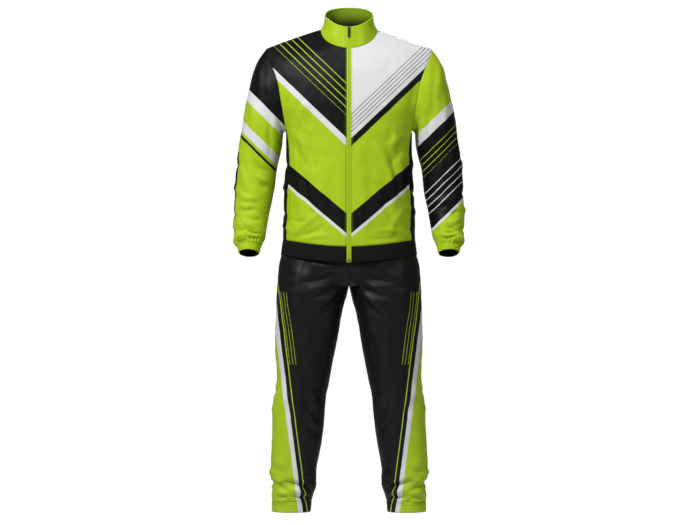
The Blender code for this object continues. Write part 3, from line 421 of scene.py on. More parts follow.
# Folds, by the way they face and the side of the body (0 is both), each list from the top down.
# A fold has both ends as (across, drop below the shoulder) as seen from there, how far its middle
# bows, half width, height out of the cloth and, if any, how much steeper its lower side is.
folds = {
    ("front", 0): (
        (13, -10, 13, 46, 0, 4, -1.3), (196, 292, 118, 352, 0, 12, 3.8), (190, 318, 128, 402, 0, 10, -3.4),
        (206, 128, 184, 262, 0, 12, -3.4), (262, 96, 252, 262, 0, 12, -4), (300, 190, 286, 330, 0, 12, 4.4),
        (222, 212, 228, 352, 0, 12, 4), (238, 250, 236, 380, 4, 8, -3.4), (108, 708, 38, 716, 4, 12, 4.4),
        (42, 814, 110, 868, -4, 10, -6.5), (50, 850, 84, 930, -6, 12, 3.4), (116, 690, 140, 734, 3, 9, -3.2),
        (150, 700, 168, 860, 8, 22, 3.6), (66, 930, 84, 1040, 5, 14, -3.6), (156, 880, 142, 1040, 5, 18, -3.2),
        (0, 690, 0, 772, 0, 18, -8), (176, 712, 120, 742, 4, 16, 3.6), (122, 1164, 92, 1204, 4, 9, 4.2),
        (196, 1090, 158, 1134, 5, 13, 3.2), (132, 1236, 134, 1330, 4, 11, 3.8),
        (172, 1250, 180, 1340, -4, 13, -3.2), (236, 1302, 188, 1318, 3, 13, 4),
        (238, 1332, 198, 1338, 3, 10, -4.4), (148, 1360, 108, 1362, 4, 7, -5),
        (237, 1357, 194, 1365, 4, 8, 5.6, 0.2), (152, 1364, 112, 1386, -4, 6, 4.4),
        (237, 1379, 196, 1391, -3, 7, -6), (180, 1392, 122, 1408, -3, 8, 8), (233, 1394, 178, 1408, 3, 6, 5.2),
        (237, 1416, 182, 1408, 5, 6, -6), (228, 1427, 186, 1422, 3, 5, 4), (198, 1418, 170, 1434, 0, 5, -4.2),
    ),
    ("front", -1): (
        (48, 0, 40, 36, 0, 11, 2.4), (21, -8, 18, 46, 2, 8, -2.6), (200, 96, 146, 84, -5, 12, 2),
        (128, 216, 150, 282, 4, 8, 3.4), (146, 208, 168, 270, 4, 7, -3), (112, 230, 120, 300, 3, 9, -2.6),
        (140, 300, 132, 392, 5, 8, 3.8), (116, 316, 104, 420, 4, 10, -3.2), (158, 318, 150, 420, 4, 8, -3.6),
        (100, 430, 82, 545, -6, 13, 3.6), (160, 440, 152, 540, -4, 11, 3.6), (130, 430, 116, 560, 5, 12, -4),
        (52, 430, 44, 556, 4, 16, -3), (170, 572, 120, 572, 5, 8, -4.4, 0.2),
        (94, 556, 158, 612, 4, 9, 5.4, 0.2), (80, 592, 154, 622, -4, 8, -5.2),
        (60, 618, 150, 631, 3, 6, 3, 0.2), (300, 352, 268, 440, 8, 10, -3.8, 0.1),
        (332, 378, 306, 480, 7, 10, 4.2), (282, 404, 246, 424, 4, 7, -4), (280, 436, 240, 456, 4, 7, 4.6),
        (276, 454, 244, 476, 4, 6, -4.4), (336, 494, 278, 506, 6, 9, 4, 0.1), (330, 512, 276, 520, 3, 8, -3.6),
        (328, 530, 286, 528, 3, 7, 4), (328, 546, 282, 544, -4, 7, -4.6), (308, 564, 266, 570, 4, 6, -4.4),
        (320, 572, 288, 592, 4, 6, 5, 0.2), (350, 584, 322, 580, 3, 7, 5), (313, 598, 268, 614, 5, 5, -6.4),
        (347, 602, 314, 599, 3, 5, -5.4), (308, 612, 274, 619, 2, 5, 3.6), (349, 620, 318, 612, 3, 6, 4.8),
        (312, 623, 274, 627, 2, 5, -5), (347, 636, 312, 633, 3, 5, -5), (22, 728, 136, 758, -6, 10, -8.5),
        (14, 752, 116, 786, -2, 11, 5.4), (22, 768, 128, 811, -4, 10, -8.5), (28, 784, 98, 838, -3, 9, 5.2),
        (128, 1180, 90, 1232, 5, 9, -4.4), (112, 1094, 87, 1150, 4, 8, 5.6), (93, 1100, 79, 1152, 3, 6, -5.4),
        (130, 1118, 96, 1178, 5, 9, -5), (190, 1150, 150, 1176, 4, 11, -3.2),
        (196, 1369, 112, 1400, -6, 8, -13), (174, 1413, 118, 1421, 2, 7, -10.5),
    ),
    ("front", 1): (
        (22, -8, 25, 44, 2, 7, -2.2), (44, 0, 47, 32, 0, 11, 1.8), (60, 70, 130, 86, -6, 12, 2.6),
        (140, 300, 126, 350, 4, 9, 3.6), (168, 296, 150, 352, 4, 8, -3.6), (82, 338, 140, 542, 12, 12, 5),
        (117, 356, 142, 458, 6, 9, -5), (150, 380, 166, 500, 5, 9, 4), (90, 468, 156, 600, -8, 11, -5),
        (56, 380, 72, 520, 6, 15, -3.4), (38, 440, 50, 600, 0, 15, 3), (170, 536, 124, 612, -6, 10, 4),
        (160, 608, 86, 602, -4, 7, 3.4, 0.2), (146, 624, 62, 627, 2, 6, -3),
        (312, 366, 262, 420, -9, 10, -4, 0.1), (336, 404, 290, 460, -6, 10, 4.2),
        (300, 486, 258, 498, 5, 9, -4), (330, 496, 286, 516, 4, 9, 4.2), (306, 530, 266, 540, -5, 8, -3.8),
        (338, 546, 312, 557, -4, 6, -5.2), (340, 566, 296, 580, 4, 8, 4.4), (284, 562, 256, 572, 3, 8, 4),
        (320, 598, 294, 591, 2, 6, -5.4), (276, 596, 256, 606, 3, 7, -4), (352, 584, 330, 592, 3, 7, 4.6),
        (330, 603, 290, 609, 3, 5, -5.4), (350, 602, 332, 607, 3, 5, -5.2), (324, 613, 286, 617, 2, 5, 3.6),
        (353, 618, 330, 622, 3, 6, 5), (320, 621, 282, 626, 2, 5, -5.4), (349, 634, 320, 639, 3, 5, -5),
        (24, 731, 134, 757, -6, 10, -8.5), (14, 750, 114, 781, -2, 11, 5.4), (24, 768, 134, 808, -4, 10, -8.5),
        (34, 786, 106, 843, -3, 9, 5.2), (126, 1174, 92, 1228, -5, 9, -4.4), (110, 1090, 86, 1146, -4, 8, 5.6),
        (91, 1104, 79, 1158, -3, 6, -5.4), (132, 1112, 98, 1170, -5, 9, -5),
        (186, 1140, 146, 1172, 4, 11, -3.2), (196, 1367, 112, 1397, -6, 8, -13),
        (176, 1414, 116, 1419, 2, 7, -10.5),
    ),
    ("back", 0): (
        (196, 292, 110, 342, 0, 13, 4.7), (206, 128, 182, 252, 0, 13, -4.1), (150, 575, 40, 612, 0, 14, 6.1),
        (120, 200, 70, 330, 0, 18, 4.1), (300, 190, 282, 340, 0, 13, 4.7), (330, 400, 240, 440, 0, 12, 5.4),
        (346, 500, 262, 530, 0, 11, 6.1), (348, 566, 262, 590, 0, 10, 6.8), (20, 800, 130, 786, 0, 12, 6.1),
        (30, 842, 140, 872, 0, 13, -5.4), (80, 1112, 180, 1100, 0, 13, -6.1), (78, 1150, 176, 1156, 0, 13, 6.1),
        (236, 1338, 130, 1352, 0, 10, 6.1), (232, 1372, 108, 1366, 0, 8, -6.8),
        (232, 1404, 116, 1408, 0, 7, -6.1), (8, 150, 20, 330, 6, 18, -3.5),
    ),
    ("back", -1): (
        (40, 96, 150, 70, 8, 16, 3.2), (176, 336, 60, 420, 10, 16, 4.1, 0.1), (110, 470, 20, 520, 8, 16, -3.5),
        (160, 606, 90, 626, 3, 7, 3, 0.3), (316, 360, 250, 382, 8, 10, -4.1, 0.1),
        (334, 452, 252, 474, -8, 9, 4.1, 0.3), (344, 532, 270, 552, 6, 7, -4.1, 0.1),
        (346, 612, 280, 620, 5, 6, 3.8, 0.3), (24, 822, 126, 812, -8, 9, 4.1, 0.3),
        (60, 900, 150, 930, 9, 12, 3.5), (90, 1128, 190, 1122, 8, 8, 3.8, 0.2),
        (214, 1318, 130, 1330, 6, 8, 4.1, 0.3), (190, 1388, 112, 1394, -5, 6, 4.1, 0.3),
    ),
    ("back", 1): (
        (36, 110, 160, 92, -8, 15, -3), (180, 350, 84, 402, -8, 14, 3.8, 0.2),
        (134, 486, 30, 476, -9, 15, 3.5, 0.1), (170, 592, 70, 618, 5, 8, -3.2),
        (322, 372, 240, 404, -8, 10, 4.1, 0.2), (336, 462, 262, 484, 7, 8, -3.8, 0.1),
        (346, 540, 276, 566, 5, 7, 4.1, 0.3), (346, 602, 286, 612, -5, 6, -3.8, 0.1),
        (22, 816, 134, 826, 6, 9, 4.1, 0.3), (56, 884, 160, 910, -8, 12, 3.5),
        (94, 1134, 186, 1142, -8, 8, 3.8, 0.2), (220, 1322, 126, 1340, -6, 8, 4.1, 0.3),
        (196, 1386, 116, 1400, 4, 6, 4.1, 0.3),
    ),
    ("outside", 0): (
        (20, 150, 34, 320, 6, 14, 3.1), (-36, 1096, 44, 1122, 8, 12, -3.4),
        (-30, 1160, 40, 1146, 6, 11, 3.4, 0.2), (-52, 1346, 58, 1352, 5, 8, 4.4, 0.2),
        (-50, 1372, 56, 1366, -4, 6, -4.7), (-54, 1392, 58, 1396, 4, 6, 3.9, 0.3),
    ),
    ("outside", -1): (
        (-40, 402, 52, 432, 8, 11, -3.9, 0.1), (-52, 492, 38, 476, 7, 9, 3.9, 0.3),
        (-60, 560, 20, 548, -6, 8, -4.2, 0.2), (-70, 606, 6, 592, 5, 7, 3.9, 0.3),
    ),
    ("outside", 1): (
        (-46, 386, 56, 440, 8, 11, 3.9, 0.2), (-50, 470, 44, 498, -7, 9, -3.9, 0.1),
        (-62, 536, 16, 560, 6, 8, 4.2, 0.3), (-72, 590, 0, 606, -5, 7, -3.9, 0.2),
    ),
}
# How far cloth has to face the viewer for a fold, how its height grows from there, and the share
# of it that is left at a fold's ends.
foldRules = {"facing": 0.36, "gain": 2.2, "loss": 0.8, "endShare": 0.35}


# Normals of a grid, turned to the side that shows.
def gridNormals(sheet):
    grid = sheet["grid"]
    if sheet["closed"]:
        across = np.roll(grid, -1, axis=1) - np.roll(grid, 1, axis=1)
    else:
        parts = np.split(grid, [sheet["fork"][0] + 1] if "fork" in sheet else [], axis=1)
        across = np.concatenate([np.gradient(part, axis=1) for part in parts], axis=1)
    normals = unit(np.cross(across, np.gradient(grid, axis=0)))
    hints = {"front": (0, -1, 0), "back": (0, 1, 0), "side": (np.sign(grid[..., 0].mean()), 0, 0)}
    hint = hints.get(sheet["facing"], (grid - grid.mean(axis=1, keepdims=True)) * [1, 1, 0])
    sheet["turned"] = float((normals * hint).sum()) < 0
    return -normals if sheet["turned"] else normals


# The same normal for sheets that meet, from where their points fall together.
def shareNormals():
    normals = np.vstack([gridNormals(sheet).reshape(-1, 3) for sheet in sheets.values()])
    points = np.vstack([sheet["grid"].reshape(-1, 3) for sheet in sheets.values()])
    keys = np.round(points / cloth["together"]).astype(np.int64)
    spot = np.unique(keys, axis=0, return_inverse=True)[1].ravel()
    total = np.column_stack([np.bincount(spot, normals[:, axis]) for axis in range(3)])
    ends = np.cumsum([sheet["grid"].size // 3 for sheet in sheets.values()])
    for sheet, part in zip(sheets.values(), np.split(unit(total[spot]), ends[:-1])):
        sheet["normals"] = part.reshape(sheet["grid"].shape)


# Height that a fold adds to points, as seen from where it faces.
def foldShape(seen, z, x0, drop0, x1, drop1, bow, width, rise, steep=0):
    along = np.array([x1 - x0, drop0 - drop1], dtype=float)
    length = np.linalg.norm(along)
    along = along / length
    offset = np.column_stack([seen - x0, z + drop0])
    reach = offset @ along
    share = np.clip(reach / length, 0, 1)
    aside = offset @ np.array([-along[1], along[0]]) - 4 * bow * share * (1 - share)
    past = reach - share * length
    wide = width * (1 + steep * np.sign(aside))
    taper = foldRules["endShare"] + (1 - foldRules["endShare"]) * np.sin(np.pi * share)
    return rise * taper * np.exp(-((aside / wide) ** 2 + (past / width) ** 2))


def foldHeights(points, normals):
    height = np.zeros(len(points))
    for (view, side), rows in folds.items():
        if view == "outside":
            facing = np.abs(normals[:, 0]) * (normals[:, 0] * points[:, 0] > 0)
            seen = points[:, 1]
        else:
            facing = normals[:, 1] * (-1.0 if view == "front" else 1.0)
            seen = np.abs(points[:, 0])
        shows = facing > foldRules["facing"]
        near = np.flatnonzero(shows & (np.sign(points[:, 0]) != -side) if side else shows)
        strength = np.clip(facing[near] * foldRules["gain"] - foldRules["loss"], 0, 1)
        for row in rows:
            height[near] += strength * foldShape(seen[near], points[near, 2], *row)
    return height


# Gentle unevenness of worn cloth, none beside the zip, at the neck and where jacket and trousers meet.
uneven = {"heights": (0.9, 0.45), "lengths": (110.0, 42.0), "waves": 7, "spread": (0.7, 1.4),
          "phases": 6.28, "zip": (8, 25), "waist": (-665, 30, 0.8), "arms": 236, "neck": (-20, 50)}


def unevenHeights(points):
    rng = np.random.default_rng(cloth["seed"])
    height = np.zeros(len(points))
    for size, length in zip(uneven["heights"], uneven["lengths"]):
        for _ in range(uneven["waves"]):
            way = unit(rng.normal(size=3)) * 2 * np.pi / (length * rng.uniform(*uneven["spread"]))
            height += size / math.sqrt(uneven["waves"]) * np.sin(points @ way + rng.uniform(0, uneven["phases"]))
    start, reach = uneven["zip"]
    beside = np.where(points[:, 1] < 0, np.clip((np.abs(points[:, 0]) - start) / reach, 0, 1), 1)
    level, reach, still = uneven["waist"]
    waist = np.clip(np.abs(points[:, 2] - level) / reach - still, 0, 1)
    waist = np.where(np.abs(points[:, 0]) > uneven["arms"], 1, waist)
    start, reach = uneven["neck"]
    return height * beside * waist * np.clip((start - points[:, 2]) / reach, 0, 1)


# Panels that are evened out, at which height and how far above and below it.
eased = {"trouser": (-748, 70), "front": (-300, 60), "back": (-300, 60)}


# Evens out the depth of a panel round a height, not at its seams.
def ease(grid, level, reach, rounds=220, full=1.25, pace=0.5):
    window = np.clip(full - np.abs(grid[..., 2] - level) / reach, 0, 1)
    window = window * np.sin(np.linspace(0, math.pi, grid.shape[1])) ** 0.5
    depth = grid[..., 1]
    for _ in range(rounds):
        mean = (depth[:-2] + depth[2:]) / 2
        depth[1:-1] += pace * window[1:-1] * (mean - depth[1:-1])


def foldSheets():
    for start, levels in eased.items():
        for name in sheets:
            if name.startswith(start):
                ease(sheets[name]["grid"], *levels)
    shareNormals()
    for name, sheet in sheets.items():
        grid = sheet["grid"]
        sheet["cut"] = grid[..., [0, 2]].copy()
        if name == "waistband":
            continue
        points, normals = grid.reshape(-1, 3), sheet["normals"].reshape(-1, 3)
        height = foldHeights(points, normals) + unevenHeights(points)
        sheet["grid"] = (points + normals * height[:, None]).reshape(grid.shape)
    shareNormals()


# Sinks the seams a little and draws the edges in by half the seam gap, so that two sheets never touch.
def drawIn(sheet):
    flat, normals = sheet["grid"], sheet["normals"]
    grid = flat.copy()
    for k, depth in enumerate(cloth["seamSink"]):
        for rows in (k, -1 - k):
            grid[rows] -= normals[rows] * depth
            if not sheet["closed"] and grid.shape[1] > cloth["narrow"]:
                grid[:, rows] -= normals[:, rows] * depth
    gap = cloth["seamGap"] / 2
    for edge, beside in ((0, 1), (-1, -2)):
        grid[edge] += unit(flat[beside] - flat[edge]) * gap
        if not sheet["closed"]:
            grid[:, edge] += unit(flat[:, beside] - flat[:, edge]) * gap
    if "fork" in sheet:
        column, row = sheet["fork"]
        for edge, beside in ((column, column - 1), (column + 1, column + 2)):
            grid[row:, edge] -= normals[row:, edge] * cloth["seamSink"][0]
            grid[row + 1:, edge] += unit(flat[row + 1:, beside] - flat[row + 1:, edge]) * gap
            grid[row, edge] += unit(flat[row - 1, edge] - flat[row, edge]) * gap
    return grid


# Makes an object of a mesh or of other data and puts it in the scene.
def place(name, data):
    obj = bpy.data.objects.new(name, data)
    bpy.context.scene.collection.objects.link(obj)
    return obj


# A closed wall round a sheet, with a map of the knit in metres and one of the print.
def makeCloth(name, sheet):
    middle = drawIn(sheet)
    rows, columns = middle.shape[:2]
    outer = middle + sheet["normals"] * sheet["wall"] / 2
    inner = middle - sheet["normals"] * sheet["wall"] / 2
    points = np.vstack([outer.reshape(-1, 3), inner.reshape(-1, 3)]) * 0.001
    wide = columns if sheet["closed"] else columns - 1
    fork, low = sheet.get("fork", (-9, 0))

    # Below the fork the two middle columns are one.
    def vertexAt(row, column):
        return row * columns + np.where((column == fork + 1) & (row <= low), fork, column) % columns

    skipped = [fork] if fork > 0 else []
    r, c = np.meshgrid(np.arange(rows - 1), np.delete(np.arange(wide), skipped), indexing="ij")
    r, c = r.ravel(), c.ravel()
    cell = np.array([[r, c], [r, c + 1], [r + 1, c + 1], [r + 1, c]])
    corner = (cell[::-1] if sheet["turned"] else cell).transpose(2, 0, 1)
    vertex = vertexAt(corner[..., 0], corner[..., 1])
    faces, count = len(vertex), rows * columns
    # An edge that no other cell runs back along gets a strip of wall.
    a, b = vertex.ravel(), np.roll(vertex, -1, axis=1).ravel()
    bare = ~np.isin(a * count + b, b * count + a)
    a, b = a[bare], b[bare]
    start, end = corner.reshape(-1, 2)[bare], np.roll(corner, -1, axis=1).reshape(-1, 2)[bare]
    vertex = np.vstack([vertex, vertex[:, ::-1] + count, np.column_stack([b, a, a + count, b + count])])
    corner = np.concatenate([corner, corner[:, ::-1], np.stack([end, start, start, end], axis=1)])
    used, vertex = np.unique(vertex, return_inverse=True)
    vertex = vertex.reshape(-1, 4)
    mesh = bpy.data.meshes.new(name + "Cloth")
    mesh.from_pydata(points[used].tolist(), [], vertex.tolist())
    mesh.shade_smooth()
    slots = np.zeros(len(vertex), dtype=np.int32)
    slots[faces: 2 * faces] = 1
    mesh.polygons.foreach_set("material_index", slots)
    ring = np.concatenate([middle, middle[:, :1]], axis=1) if sheet["closed"] else middle
    steps = [np.linalg.norm(np.diff(ring, axis=1 - k), axis=2).mean(axis=k) for k in (0, 1)]
    u, v = (np.concatenate([[0], np.cumsum(step)]) * 0.001 for step in steps)
    knit = np.stack([u[corner[..., 1]], v[corner[..., 0]]], axis=-1)
    mesh.uv_layers.new(name="knit").data.foreach_set("uv", knit.ravel())
    cut = np.tile(sheet["cut"].reshape(-1, 2), (2, 1))[used] * 0.001
    mesh.uv_layers.new(name="print").data.foreach_set("uv", cut[vertex.ravel()].ravel())
    return place(name + "Cloth", mesh)


# Colours as seen in the photo, and one function that turns them linear.
colours = {
    # shade is a darker lime for the collar's inside, partly its own colour and partly painted shade; deep is near
    # black, painted as shadow at the collar's neck seam
    "lime": "A5C41F", "shade": "7C9A1A", "deep": "161D05", "white": "D8D8DA", "black": "0E0E0F", "rib": "111112",
    "thread": "8FB520", "seam": "5A7410", "metal": "7D7F7A", "rubber": "1E1E1E",
}


def linear(name):
    code = colours[name]
    parts = [int(code[k: k + 2], 16) / 255 for k in (0, 2, 4)]
    return tuple(p / 12.92 if p <= 0.04045 else ((p + 0.055) / 1.055) ** 2.4 for p in parts) + (1.0,)


# Adds a node with its settings; an input that is a socket is linked and any other is set.
def addNode(tree, kind, inputs=None, **settings):
    made = tree.nodes.new(kind)
    for key, value in settings.items():
        setattr(made, key, value)
    for key, value in (inputs or {}).items():
        if isinstance(value, bpy.types.NodeSocket):
            tree.links.new(value, made.inputs[key])
        else:
            made.inputs[key].default_value = value
    return made


# Bands of the print, in millimetres: colour, then half-planes as (across, up, from, to), each
# across * |x| + up * z, and any stripes as (across, up, pitch, share that is printed). A fifth
# number in a half-plane is how much x counts with its own sign.
chest = (-0.95, 1, -330, 999)
chestStripes = (-0.95, 1, -262, -150)
underChest = (-0.95, 1, -354, -330)
waistBands = (("black", ((-0.84, 1, -616, -556),)), ("white", ((-0.84, 1, -628, -617),)))
rightOnly = (0, 0, -999, 0, 1)
prints = {
    "frontRight": ("lime", (
        ("black", (chest,)),
        ("lime", (chest, chestStripes), (-0.95, 1, 24, 0.14)),
        ("white", (underChest,)), *waistBands)),
    "frontLeft": ("lime", (
        ("white", (chest,)),
        ("black", (chest, (-0.95, 1, -322, -255)), (-0.95, 1, 13, 0.2)),
        ("black", (underChest,)), *waistBands)),
    "back": ("lime", (
        ("white", (underChest,)),
        ("black", (chest, rightOnly)),
        ("lime", (chest, chestStripes, rightOnly), (-0.95, 1, 24, 0.14)), *waistBands)),
    "sleeveRight": ("lime", (
        ("black", ((-1, 1, -480, 999),)),
        ("white", ((-1, 1, -520, -480),)),
        ("white", ((-1, 1, -628, -592),)),
        ("black", ((-1, 1, -650, -640),)),
        ("black", ((1, 0.08, 303, 999), (-1, 1, -1999, -700))))),
    "sleeveLeft": ("lime", (
        ("white", ((-1, 1, -560, -520),)),
        ("black", ((-1, 1, -850, -560),)),
        ("lime", ((-1, 1, -670, -588),), (-1, 1, 21, 0.15)),
        ("white", ((-1, 1, -812, -700),), (-1, 1, 25, 0.14)),
        ("white", ((-1, 1, -860, -850),)))),
    "trousers": ("black", (
        ("lime", ((1, -0.1264, 339.6, 999),)),
        ("white", ((1, -0.1264, 325.6, 339.6),)),
        ("lime", ((1, -0.1264, 311, 314),)),
        ("lime", ((1, -0.1264, 283, 309), (0, 1, -1010, -790)), (1, -0.1264, 9, 0.15)))),
}


# Height of the knit: wales across and courses along, from the map in metres.
def knitHeight(tree, wale, course):
    where = addNode(tree, "ShaderNodeUVMap", uv_map="knit").outputs[0]
    waves = []
    for axis, size in (("X", wale), ("Y", course)):
        if size:
            wave = addNode(tree, "ShaderNodeTexWave", {"Vector": where, "Scale": 2 * math.pi / (20 * size)},
                           wave_type="BANDS", bands_direction=axis)
            waves.append(wave.outputs["Fac"])
    if len(waves) == 1:
        return waves[0]
    return addNode(tree, "ShaderNodeMath", {0: waves[0], 1: waves[1]}, operation="MULTIPLY").outputs[0]


# A material, its node tree and its shader with a base colour.
def newMaterial(name, colour):
    made = bpy.data.materials.new(name)
    made.use_nodes = True
    shader = made.node_tree.nodes["Principled BSDF"]
    shader.inputs["Base Color"].default_value = linear(colour)
    return made, made.node_tree, shader


# Colour of the bands over the base, from the map of the print in metres.
def bandColour(tree, base, bands):
    where = addNode(tree, "ShaderNodeUVMap", uv_map="print").outputs[0]
    size = addNode(tree, "ShaderNodeVectorMath", {0: where}, operation="ABSOLUTE").outputs[0]
    split = addNode(tree, "ShaderNodeSeparateXYZ", {0: size}).outputs
    drop = addNode(tree, "ShaderNodeMath", {0: split[1], 1: -1.0}, operation="MULTIPLY").outputs[0]
    own = addNode(tree, "ShaderNodeSeparateXYZ", {0: where}).outputs[0]
    flat = addNode(tree, "ShaderNodeCombineXYZ", {0: split[0], 1: drop, 2: own}).outputs[0]
    colour = linear(base)
    for paint, planes, *stripes in bands:
        masks = []
        for across, up, low, high, *signed in planes:
            way = {0: flat, 1: (across, up, *(signed or [0]))}
            at = addNode(tree, "ShaderNodeVectorMath", way, operation="DOT_PRODUCT").outputs["Value"]
            reach = {0: at, 1: (low + high) / 2000, 2: (high - low) / 2000}
            masks.append(addNode(tree, "ShaderNodeMath", reach, operation="COMPARE").outputs[0])
        for across, up, pitch, share in stripes:
            way = {0: flat, 1: (across * 1000 / pitch, up * 1000 / pitch, 0)}
            at = addNode(tree, "ShaderNodeVectorMath", way, operation="DOT_PRODUCT").outputs["Value"]
            phase = {0: addNode(tree, "ShaderNodeMath", {0: at}, operation="FRACT").outputs[0], 1: share}
            masks.append(addNode(tree, "ShaderNodeMath", phase, operation="LESS_THAN").outputs[0])
        mask = masks[0]
        for other in masks[1:]:
            mask = addNode(tree, "ShaderNodeMath", {0: mask, 1: other}, operation="MULTIPLY").outputs[0]
        mix = {0: mask, 6: colour, 7: linear(paint)}
        colour = addNode(tree, "ShaderNodeMix", mix, data_type="RGBA").outputs[2]
    return colour


# A printed polyester knit: base colour, bands over it, and the knit as fine relief. A fade is a
# painted shadow: it names the colour painted at the lower edge, and the heights in metres between
# which the base takes over.
# Wales and courses are about 1 mm in the real knit, drawn a little coarser so that they show.
def clothMaterial(name, design, wale=0.0016, course=0.0013, relief=0.00012, rough=0.5, paintedShadow=None,
                  shine=0.14, strength=0.6):
    base, bands = prints.get(design, (design, ()))
    made, tree, shader = newMaterial(name, base)
    shader.inputs["Roughness"].default_value = rough
    shader.inputs["Specular IOR Level"].default_value = shine
    if bands:
        tree.links.new(bandColour(tree, base, bands), shader.inputs["Base Color"])
    if paintedShadow:
        edge, low, high = paintedShadow
        up = addNode(tree, "ShaderNodeUVMap", uv_map="knit").outputs[0]
        up = addNode(tree, "ShaderNodeSeparateXYZ", {0: up}).outputs[1]
        heights = {0: up, 1: low, 2: high}
        share = addNode(tree, "ShaderNodeMapRange", heights, interpolation_type="SMOOTHSTEP")
        mix = {0: share.outputs[0], 6: linear(edge), 7: linear(base)}
        mixed = addNode(tree, "ShaderNodeMix", mix, data_type="RGBA")
        tree.links.new(mixed.outputs[2], shader.inputs["Base Color"])
    height = knitHeight(tree, wale, course)
    bump = addNode(tree, "ShaderNodeBump", {"Height": height, "Distance": relief, "Strength": strength})
    tree.links.new(bump.outputs[0], shader.inputs["Normal"])
    return made


# A plain hard material whose roughness varies a little.
def hardMaterial(name, colour, rough, metal, vary=0.06, scale=900.0, detail=3.0):
    made, tree, shader = newMaterial(name, colour)
    shader.inputs["Metallic"].default_value = metal
    grain = addNode(tree, "ShaderNodeTexNoise", {"Scale": scale, "Detail": detail})
    reach = {0: grain.outputs["Fac"], 3: rough - vary, 4: rough + vary}
    spread = addNode(tree, "ShaderNodeMapRange", reach)
    tree.links.new(spread.outputs[0], shader.inputs["Roughness"])
    return made


# The node each piece stands for, its print, its slot, and its cut: width, length and area in metres.
# A * stands for Left and Right, in the node's name for left and right.
pieces = {
    "front*": ("front_*", "front*", "jacket_print", (0.29, 0.66), 0.140),
    "back": ("back", "back", "jacket_print", (0.60, 0.68), 0.303),
    "sidePanel*": ("side_panel_*", "black", "black_knit", (0.10, 0.35), 0.029),
    "sleeve*": ("sleeve_*", "sleeve*", "jacket_print", (0.50, 0.62), 0.206),
    "cuff*": ("cuff_*", "lime", "lime_rib", (0.24, 0.02), 0.0044),
    "collar": ("collar", "lime", "lime_knit", (0.50, 0.06), 0.0275),
    "hemBand": ("hem_band", "rib", "black_rib", (1.10, 0.05), 0.050),
    "zipTape*": ("zip_tape_*", "lime", "zip_tape", (0.01, 0.71), 0.0047),
    "trouserFront*": ("trouser_front_*", "trousers", "trouser_print", (0.32, 0.82), 0.213),
    "trouserBack*": ("trouser_back_*", "trousers", "trouser_print", (0.34, 0.82), 0.223),
    "legCuff*": ("leg_cuff_*", "trousers", "trouser_print", (0.38, 0.034), 0.0118),
    "waistband": ("waistband", "rib", "black_rib", (0.94, 0.04), 0.035),
}
# Wale and course of the knit, depth of its relief and roughness.
knits = {"brushed": (0.0016, 0.0013, 0.0002), "rib": (0.0028, 0, 0.0006, 0.8)}
trouserShine = 0.25


# Puts a finished cloth on the garment in place of its CAD node.
def finishCloth(obj, node, slotName, outer, inner, **sizes):
    obj.data.materials.append(outer)
    obj.data.materials.append(inner)
    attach(obj, "garment")
    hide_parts(node)
    print(obj.name, "faces", len(obj.data.polygons))


foldSheets()
print("folds:", sum(len(rows) for rows in folds.values()))

made = {}
# Black for the inner side of every piece; it also keeps the openings of the sleeves and cuffs dark.
blackInside = clothMaterial("blackBrushedInside", "black", *knits["brushed"], 0.9)
# The collar's inside: a darker lime, partly its own colour and partly painted shade, with a shadow painted towards
# the neck seam that darkens it to near black.
collarInside = clothMaterial("limeInsidePaintedShade", "shade", *knits["brushed"], 0.8, ("deep", 0.006, 0.052))
ribbed = {"cuffLeft", "cuffRight", "hemBand", "waistband"}
for pattern, (nodes, design, slotName, flat, area) in pieces.items():
    for word in ("Left", "Right") if "*" in pattern else ("",):
        name, own = pattern.replace("*", word), design.replace("*", word)
        key = (own, name in ribbed)
        if key not in made and name in ribbed:
            made[key] = clothMaterial(own + "RibKnit", own, *knits["rib"])
        elif key not in made:
            shine = {"shine": trouserShine} if own == "trousers" else {}
            made[key] = clothMaterial(own + "PrintedKnit", own, **shine)
        inner = collarInside if name == "collar" else made[key] if "Tape" in name else blackInside
        obj, node = makeCloth(name, sheets[name]), nodes.replace("*", word.lower())
        finishCloth(obj, node, slotName, made[key], inner, flat=flat, area=area)


# What a sheet holds at fractional places of its grid.
def between(sheet, key, rows, columns):
    rows, columns = np.broadcast_arrays(np.asarray(rows, float), np.asarray(columns, float))
    height, width = sheet["grid"].shape[:2]
    r = np.clip(np.floor(rows).astype(int), 0, height - 2)
    c = np.floor(columns).astype(int)
    c = c if sheet["closed"] else np.clip(c, 0, width - 2)
    a, b, part = (rows - r)[..., None], (columns - c)[..., None], sheet[key]
    c, n = c % width, (c + 1) % width
    here = part[r, c] * (1 - b) + part[r, n] * b
    above = part[r + 1, c] * (1 - b) + part[r + 1, n] * b
    return here * (1 - a) + above * a


# Points of a sheet lifted off its middle.
def along(name, rows, columns, lift):
    sheet = sheets[name]
    return between(sheet, "grid", rows, columns) + between(sheet, "normals", rows, columns) * lift


# A mesh of plain lines for geometry nodes to follow.
def lineObject(name, lines):
    points, edges = [], []
    for line in lines:
        first = len(points)
        points += (line * 0.001).tolist()
        edges += [(first + k, first + k + 1) for k in range(len(line) - 1)]
    mesh = bpy.data.meshes.new(name)
    mesh.from_pydata(points, edges, [])
    return place(name, mesh)


